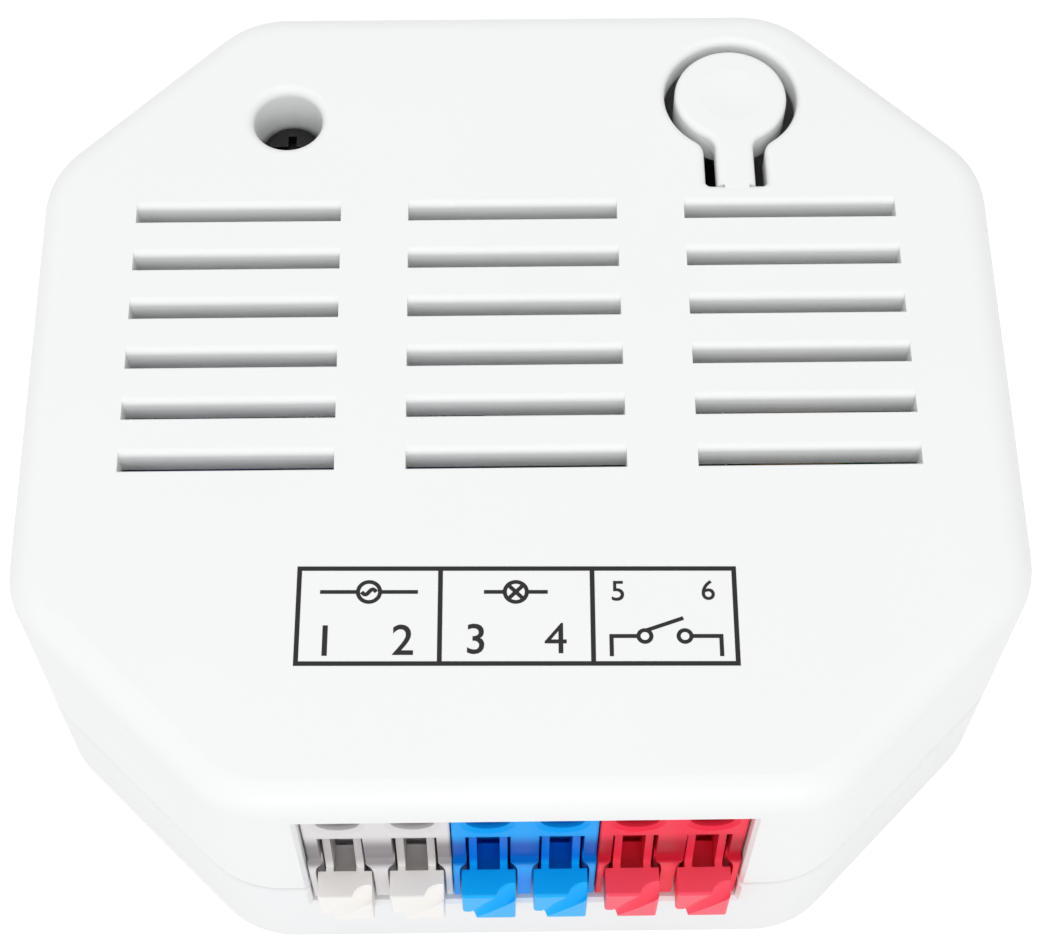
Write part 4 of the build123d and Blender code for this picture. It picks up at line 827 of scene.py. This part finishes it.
@dataclass
class BoardWork:
    """Solder, traces and printed outlines of the circuit board.

    Attributes:
        solder_radius: Radius of a solder joint at the board.
        solder_height: Height of a solder joint.
        solder_shape: Points of its outline, as shares of the radius and the height.
        solder_steps: Steps round a joint.
        bar_depth: Depth from which a solid is a bar with a pin at its far end.
        pin_inset: From that end to the pin's middle.
        trace_width: Width of a trace.
        trace_height: How far a trace stands out of the board.
        silk_line: Width of a printed line.
        silk_height: Thickness of a printed line.
        silk_gap: Gap from a part to its printed outline.
        outlined: Parts that have a printed outline.
    """

    solder_radius: float = 0.85 * MM
    solder_height: float = 0.9 * MM
    solder_shape: tuple[tuple[float, float], ...] = (
        (0.0, 0.0), (1.0, 0.0), (0.78, -0.12), (0.62, -0.4), (0.56, -0.8), (0.40, -1.0), (0.0, -1.0))
    solder_steps: int = 20
    bar_depth: float = 2 * MM
    pin_inset: float = 0.3 * MM
    trace_width: float = 1.1 * MM
    trace_height: float = 0.05 * MM
    silk_line: float = 0.15 * MM
    silk_height: float = 0.01 * MM
    silk_gap: float = 0.3 * MM
    outlined: tuple[str, ...] = (
        "relay_case", "mains_capacitor", "bulk_capacitor", "output_capacitor", "varistor", "fuse", "choke",
        "rectifier", "optocoupler", "tact_switch", "status_led", "thermistor")

    def build(self) -> None:
        """Builds the solder joints, the traces and the outlines."""
        low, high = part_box("circuit_board")
        relay, winding, *bars = ([self._foot_of(*box) for box in loose_boxes(node)] for node in (
            "relay_pins", "transformer_pins", *("contact_bars_" + place for place in BLOCK_PLACES)))
        bars = sum(bars, [])
        self._solder(relay + winding + bars, low[2])
        self._traces(bars, relay + winding[:2], low[2])
        self._outlines(high[2])

    def _solder(self, feet: list[tuple[float, float]], level: float) -> None:
        """Builds a cone of solder round each pin under the board.

        Args:
            feet: X and Y of each pin's foot.
            level: Underside of the board.
        """
        mesh = bmesh.new()
        profile = [(radius * self.solder_radius, height * self.solder_height)
                   for radius, height in self.solder_shape]
        for foot in feet:
            add_lathe(mesh, profile, Matrix.Translation((*foot, level)), self.solder_steps)
        add_piece("solder_joints", mesh, SOLDER_TIN, smooth=True)

    def _foot_of(self, low: Vector, high: Vector) -> tuple[float, float]:
        """Finds a pin's foot: its middle, or the far end of a bar with a pin at its back.

        Args:
            low: Lowest corner of the pin or bar.
            high: Its highest corner.

        Returns:
            X and Y of the foot.
        """
        x = (low.x + high.x) / 2
        if high.y - low.y < self.bar_depth:
            return x, (low.y + high.y) / 2
        return x, high.y - self.pin_inset

    def _traces(self, bars: list[tuple[float, float]], others: list[tuple[float, float]],
                level: float) -> None:
        """Builds the wide traces on the underside, from the terminals to the parts behind them.

        Args:
            bars: Feet of the terminals' bars.
            others: Feet of the pins that the traces lead to.
            level: Underside of the board.
        """
        mesh = bmesh.new()
        for start, end in zip(sorted(bars), sorted(others)):
            halfway = (start[1] + end[1]) / 2
            turns = [start, (start[0], halfway), (end[0], halfway), end]
            for first, second in zip(turns, turns[1:]):
                self._flat_run(mesh, first, second, level - self.trace_height / 2)
        add_piece("board_traces", mesh, TRACE_GREEN)

    def _flat_run(self, mesh: BMesh, first: tuple[float, float], second: tuple[float, float],
                  level: float) -> None:
        """Adds one straight run of a trace.

        Args:
            mesh: The bmesh that it goes into.
            first: X and Y of its start.
            second: X and Y of its end.
            level: Z of its middle.
        """
        half = Vector((self.trace_width, self.trace_width, self.trace_height)) / 2
        low, high = (Vector((*map(pick, first, second), level)) for pick in (min, max))
        add_box(mesh, low - half, high + half)

    def _outlines(self, level: float) -> None:
        """Builds the printed outlines round the parts.

        Args:
            level: Top of the board.
        """
        mesh = bmesh.new()
        half, head = self.silk_line / 2, level + self.silk_height
        for node in self.outlined:
            low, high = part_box(node)
            left, right = low[0] - self.silk_gap, high[0] + self.silk_gap
            near, far = low[1] - self.silk_gap, high[1] + self.silk_gap
            for y in (near, far):
                add_box(mesh, Vector((left, y - half, level)), Vector((right, y + half, head)))
            for x in (left, right):
                add_box(mesh, Vector((x - half, near, level)), Vector((x + half, far, head)))
        add_piece("board_outlines", mesh, SILK_WHITE)


@dataclass
class Winding:
    """Turns of enamelled wire round a drum.

    Attributes:
        name: Name of the piece.
        middle: Middle of the drum.
        inner: Radius that the wire lies on.
        outer: Radius of the outer turns.
        length: Length of the winding along the axis.
        wire: Thickness of the wire.
        drum: The way that its axis points.
        ridge_steps: Steps of the outline over one turn.
        steps: Steps round the drum.
    """

    name: str
    middle: Vector
    inner: float
    outer: float
    length: float
    wire: float
    drum: Drum
    ridge_steps: int = 4
    steps: int = 36

    def build(self) -> None:
        """Builds the winding with a ridge for each turn."""
        turns = int(self.length / self.wire)
        pitch = self.length / turns
        half = self.length / 2
        profile = [(self.inner, -half)]
        for turn in range(turns):
            for step in range(self.ridge_steps):
                part = step / self.ridge_steps
                rise = abs(math.sin(math.pi * part))
                profile.append((self.outer - (1 - rise) * self.wire / 2, -half + (turn + part) * pitch))
        profile += [(self.outer - self.wire / 2, half), (self.inner, half), (self.inner, -half)]
        turned = Matrix.Rotation(math.radians(90), 4, "Y") if self.drum is Drum.LYING else Matrix.Identity(4)
        mesh = bmesh.new()
        add_lathe(mesh, profile, Matrix.Translation(self.middle) @ turned, self.steps)
        add_piece(self.name, mesh, WINDING_COPPER, smooth=True)


@dataclass
class SmallParts:
    """Details of the parts on the board: can tops and marks, legs, leads and the radio board's antenna.

    Attributes:
        wound: Node, its drum, depth of the wire's inner and outer side in it, length of its ends, and wire.
        cans: The cans.
        can_top: Points of a can's top, as a share of its radius and a height.
        can_steps: Steps round a can.
        score: Length of a top's score as a share of the radius, its width and its height.
        score_turns: Degrees that its two lines are turned.
        mark_stand: How far a can's mark stands off its side.
        mark_ends: From the can's foot to the mark, and from the mark to its head.
        mark_turn: Degrees round the can that the mark covers.
        mark_steps: Steps of that turn.
        mark_thickness: Thickness of the mark.
        legged: Parts with legs, whether these leave along Y, and their places along the side.
        leg_thickness: Thickness of a leg.
        leg_half_width: Half the width of a leg.
        leg_rise: Height at which a leg leaves a tall body.
        leg_reaches: From the body's side back to the leg's root, out to its knee, and out to its toe.
        lead: Radius of a transformer lead.
        lead_route: Its points: share of the pin's X, way towards the winding, and height over the pin.
        antenna_line: Width of the antenna's line.
        antenna_height: Thickness of that line.
        antenna_insets: From the radio board's right end to the inner and the outer turns.
        antenna_margin: From its near and far edges to the first and the last line.
        antenna_turns: Number of turns.
    """

    wound: tuple[tuple[str, Drum, float, float, float, float], ...] = (
        ("relay_coil", Drum.LYING, 0.52 * MM, 0.15 * MM, 1.26 * MM, 0.16 * MM),
        ("choke", Drum.STANDING, 0.82 * MM, 0.25 * MM, 1.66 * MM, 0.3 * MM))
    cans: tuple[str, ...] = ("bulk_capacitor", "output_capacitor")
    can_top: tuple[tuple[float, float], ...] = (
        (0.0, 0.0), (0.7, 0.0), (0.78, 0.03 * MM), (0.8, 0.01 * MM), (0.8, -0.05 * MM), (0.0, -0.05 * MM))
    can_steps: int = 48
    score: tuple[float, float, float] = (1.1, 0.12 * MM, 0.05 * MM)
    score_turns: tuple[float, ...] = (45, 135)
    mark_stand: float = 0.02 * MM
    mark_ends: tuple[float, float] = (2.6 * MM, 0.7 * MM)
    mark_turn: float = 50
    mark_steps: int = 10
    mark_thickness: float = 0.03 * MM
    legged: tuple[tuple[str, bool, tuple[float, ...]], ...] = (
        ("rectifier", True, (-1.27 * MM, 1.27 * MM)), ("optocoupler", False, (-1.27 * MM, 1.27 * MM)),
        ("tact_switch", False, (-1.6 * MM, 1.6 * MM)), ("fuse", False, (0.0,)))
    leg_thickness: float = 0.15 * MM
    leg_half_width: float = 0.3 * MM
    leg_rise: float = 0.9 * MM
    leg_reaches: tuple[float, float, float] = (0.2 * MM, 0.45 * MM, 0.8 * MM)
    lead: float = 0.12 * MM
    lead_route: tuple[tuple[float, float, float], ...] = (
        (1.0, 0.0, -0.2 * MM), (1.0, 0.0, 0.4 * MM), (0.97, 0.35 * MM, 1.1 * MM), (0.94, 0.5 * MM, 2.0 * MM))
    antenna_line: float = 0.35 * MM
    antenna_height: float = 0.03 * MM
    antenna_insets: tuple[float, float] = (1.25 * MM, 0.35 * MM)
    antenna_margin: float = 0.8 * MM
    antenna_turns: int = 8

    def build(self) -> None:
        """Builds the details in order."""
        self._windings()
        self._can_tops()
        self._polarity_marks()
        self._legs()
        self._winding_leads()
        self._antenna()

    def _windings(self) -> None:
        """Winds the relay's coil and the choke."""
        for node, drum, inner, outer, ends, wire in self.wound:
            low, high = corners(node)
            width, _, height = (end - start for start, end in zip(low, high))
            length, across = (width, height) if drum is Drum.LYING else (height, width)
            middle, radius = (low + high) / 2, across / 2
            Winding(node + "_wire", middle, radius - inner, radius - outer, length - ends, wire,
                    drum).build()

    def _can_tops(self) -> None:
        """Builds the bare can tops, each with its crossed relief score."""
        mesh = bmesh.new()
        length, width, height = self.score
        for node in self.cans:
            low, high = corners(node)
            radius = (high.x - low.x) / 2
            middle = Matrix.Translation(((low.x + high.x) / 2, (low.y + high.y) / 2, high.z))
            profile = [(share * radius, level) for share, level in self.can_top]
            add_lathe(mesh, profile, middle, self.can_steps)
            for turn in self.score_turns:
                place = (middle @ Matrix.Rotation(math.radians(turn), 4, "Z")
                         @ Matrix.Diagonal((length * radius, width, height, 1.0)))
                bmesh.ops.create_cube(mesh, size=1.0, matrix=place)
        add_piece("can_tops", mesh, CAN_ALUMINIUM, smooth=True)

    def _polarity_marks(self) -> None:
        """Builds the pale stripe down one side of each can."""
        mesh = bmesh.new()
        for node in self.cans:
            low, high = corners(node)
            radius = (high.x - low.x) / 2 + self.mark_stand
            middle = Matrix.Translation(((low.x + high.x) / 2, (low.y + high.y) / 2, 0))
            stripe = bmesh.new()
            chain = [stripe.verts.new((0, -radius, level))
                     for level in (low.z + self.mark_ends[0], high.z - self.mark_ends[1])]
            edge = stripe.edges.new(chain)
            bmesh.ops.spin(stripe, geom=[*chain, edge], cent=(0, 0, 0), axis=(0, 0, 1),
                           angle=math.radians(self.mark_turn), steps=self.mark_steps)
            bmesh.ops.recalc_face_normals(stripe, faces=stripe.faces)
            bmesh.ops.solidify(stripe, geom=stripe.faces[:], thickness=self.mark_thickness)
            bmesh.ops.transform(stripe, matrix=middle, verts=stripe.verts)
            merge(mesh, stripe)
        bmesh.ops.recalc_face_normals(mesh, faces=mesh.faces)
        add_piece("polarity_marks", mesh, CAPACITOR_MARK, smooth=True)

    def _legs(self) -> None:
        """Builds the flat legs of the rectifier, the optocoupler, the push switch and the fuse."""
        mesh = bmesh.new()
        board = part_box("circuit_board")[1][2]
        for node, along_y, offsets in self.legged:
            low, high = corners(node)
            for side in (-1, 1):
                for offset in offsets:
                    self._leg(mesh, low, high, board, side, offset, along_y)
        add_piece("part_legs", mesh, SOLDER_TIN)

    def _leg(self, mesh: BMesh, low: Vector, high: Vector, board: float, side: int, offset: float,
             along_y: bool) -> None:
        """Adds one leg: out of the body's side, down, and along the board.

        Args:
            mesh: The bmesh that it goes into.
            low: Lowest corner of the body.
            high: Highest corner of the body.
            board: Top of the board.
            side: Side of the body that it leaves.
            offset: Its place along that side.
            along_y: Whether it leaves along Y.
        """
        reach = (high.y - low.y if along_y else high.x - low.x) / 2
        root, knee, toe = (reach + way for way in (-self.leg_reaches[0], *self.leg_reaches[1:]))
        top = board + min(self.leg_rise, (high.z - board) / 2)
        thick = self.leg_thickness
        middle = (low + high).xy / 2
        spans = ((root, knee, top - thick, top), (knee - thick, knee, board + thick, top),
                 (knee - thick, toe, board, board + thick))
        for start, end, foot, head in spans:
            near, far = sorted((side * start, side * end))
            first = Vector((near, offset - self.leg_half_width))
            second = Vector((far, offset + self.leg_half_width))
            if along_y:
                first, second = first.yx, second.yx
            add_box(mesh, Vector((*(middle + first), foot)), Vector((*(middle + second), head)))

    def _winding_leads(self) -> None:
        """Builds the wires from the transformer's pins up to its winding."""
        mesh = bmesh.new()
        middle_y = sum(corner[1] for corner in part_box("transformer_winding")) / 2
        for low, high in loose_boxes("transformer_pins"):
            x, y = (low.x + high.x) / 2, (low.y + high.y) / 2
            inward = 1 if middle_y > y else -1
            route = [Vector((share * x, y + inward * way, high.z + rise))
                     for share, way, rise in self.lead_route]
            curve_mesh(mesh, route, self.lead)
        add_piece("transformer_leads", mesh, WINDING_COPPER, smooth=True)

    def _antenna(self) -> None:
        """Builds the meander of the antenna on the free end of the radio board."""
        low, high = corners("radio_board")
        mesh = bmesh.new()
        half, head = self.antenna_line / 2, high.z + self.antenna_height
        inner, outer = (high.x - inset for inset in self.antenna_insets)
        step = (high.y - low.y - 2 * self.antenna_margin) / self.antenna_turns
        for turn in range(self.antenna_turns + 1):
            y = low.y + self.antenna_margin + turn * step
            add_box(mesh, Vector((inner, y - half, high.z)), Vector((outer, y + half, head)))
            if turn < self.antenna_turns:
                x = outer if turn % 2 else inner
                add_box(mesh, Vector((x - half, y - half, high.z)),
                        Vector((x + half, y + step + half, head)))
        add_piece("antenna_trace", mesh, ANTENNA_GOLD)


@dataclass
class Studio:
    """Pale floor and soft, plain lamps.

    Attributes:
        floor_reach: Half the width of the floor.
        floor_gap: How far the floor lies under the object.
        floor_colour: Grey of the floor.
        floor_roughness: Roughness of the floor.
        floor_glow: White that the camera sees added to the floor.
        sky: Strength of the even light from all round.
        lamps: Name, place, side in metres and power in watts of each lamp.
    """

    floor_reach: float = 3.0
    floor_gap: float = 0.02 * MM
    floor_colour: float = 0.86
    floor_roughness: float = 0.9
    floor_glow: float = 0.35
    sky: float = 0.67
    lamps: tuple[tuple[str, tuple[float, float, float], float, float], ...] = (
        ("key_lamp", (0.02, -0.66, 0.56), 0.45, 2.0), ("top_lamp", (-0.04, 0.02, 0.90), 0.4, 1.15),
        ("fill_lamp", (-0.5, 0.4, 0.5), 0.5, 0.4))

    def build(self) -> None:
        """Builds the floor, the sky and the lamps."""
        self._floor()
        self._sky()
        for lamp in self.lamps:
            self._lamp(*lamp)

    def _floor(self) -> None:
        """Builds the floor, which keeps shadows and looks white to the camera."""
        mesh = bmesh.new()
        bmesh.ops.create_grid(mesh, x_segments=1, y_segments=1, size=self.floor_reach)
        data = to_data("floor", mesh)
        floor = add_object("floor", data)
        floor.location.z = -self.floor_gap
        material = bpy.data.materials.new("floor_white")
        material.use_nodes = True
        tree = material.node_tree
        fill(tree, tree.nodes["Principled BSDF"], {
            "Base Color": (self.floor_colour,) * 3 + (1.0,), "Roughness": self.floor_roughness,
            "Specular IOR Level": 0.0, "Emission Color": (1.0, 1.0, 1.0, 1.0),
            "Emission Strength": self._seen_by_camera(tree, self.floor_glow)})
        data.materials.append(material)

    def _seen_by_camera(self, tree: NodeTree, strength: float) -> NodeSocket:
        """Gives a strength to camera, glossy and transmission rays alone.

        Args:
            tree: Node tree that the nodes go into.
            strength: Strength for those rays.

        Returns:
            The socket that carries it.
        """
        path = tree.nodes.new("ShaderNodeLightPath")
        seen = path.outputs["Is Camera Ray"]
        for kind in ("Is Glossy Ray", "Is Transmission Ray"):
            seen = add_math(tree, "MAXIMUM", seen, path.outputs[kind])
        return add_math(tree, "MULTIPLY", seen, strength)

    def _sky(self) -> None:
        """Lights the scene evenly, and shows white to the camera."""
        world = bpy.data.worlds.new("sky")
        bpy.context.scene.world = world
        world.use_nodes = True
        tree = world.node_tree
        strength = add_math(tree, "ADD", self._seen_by_camera(tree, 1.0 - self.sky), self.sky)
        fill(tree, tree.nodes["Background"], {"Color": (1.0, 1.0, 1.0, 1.0), "Strength": strength})

    def _lamp(self, name: str, place: tuple[float, float, float], size: float, watts: float) -> None:
        """Adds a square area lamp that points at the object.

        Args:
            name: Name of the lamp.
            place: Its place in metres.
            size: Its side in metres.
            watts: Its power.
        """
        data = bpy.data.lights.new(name, "AREA")
        data.size = size
        data.energy = watts
        lamp = add_object(name, data)
        lamp.location = place
        lamp.rotation_euler = (-Vector(place)).to_track_quat("-Z", "Y").to_euler()


@dataclass
class PhotoCamera:
    """Camera at the photograph's angle.

    Attributes:
        focal_pixels: Focal length in pixels of the photograph.
        photo_width: Width of the photograph in pixels.
        sensor_width: Width of the sensor in millimetres.
        elevation: Height over the horizon, in degrees.
        yaw: Turn round the object, in degrees.
        roll: Turn round the line of sight, in degrees.
        target: The point that it looks at, in metres.
        distance: How far it is from that point.
        clip: Nearest and farthest distance that it sees, in metres.
    """

    focal_pixels: float = 2301.0
    photo_width: float = 1050.0
    sensor_width: float = 36.0
    elevation: float = 61.9
    yaw: float = -1.486
    roll: float = 0.73
    target: tuple[float, float, float] = (0.343 * MM, -0.572 * MM, 9.8 * MM)
    distance: float = 122.19 * MM
    clip: tuple[float, float] = (0.005, 20.0)

    def build(self) -> None:
        """Builds the camera and makes it the scene's."""
        elevation, yaw, roll = map(math.radians, (self.elevation, self.yaw, self.roll))
        back = Vector((math.sin(yaw) * math.cos(elevation), -math.cos(yaw) * math.cos(elevation),
                       math.sin(elevation)))
        level = Vector((0, 0, 1)).cross(back).normalized()
        upward = back.cross(level)
        right = level * math.cos(roll) + upward * math.sin(roll)
        up = -level * math.sin(roll) + upward * math.cos(roll)
        data = bpy.data.cameras.new("photo_camera")
        data.sensor_width = self.sensor_width
        data.lens = self.focal_pixels / self.photo_width * self.sensor_width
        data.clip_start, data.clip_end = self.clip
        camera = add_object("photo_camera", data)
        place = Vector(self.target) + back * self.distance
        camera.matrix_world = Matrix.Translation(place) @ Matrix((right, up, back)).transposed().to_4x4()
        bpy.context.scene.camera = camera


def main() -> None:
    """Builds the camera, the studio, the finishes and the added pieces."""
    logging.basicConfig(level=logging.INFO, format="%(name)s: %(message)s")
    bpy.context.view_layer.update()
    bpy.context.scene.view_settings.view_transform = "Standard"
    PhotoCamera().build()
    Studio().build()
    dress_nodes()
    PrintedTable().build()
    TongueRoot().build()
    BoardWork().build()
    SmallParts().build()


if __name__ == "__main__":
    main()
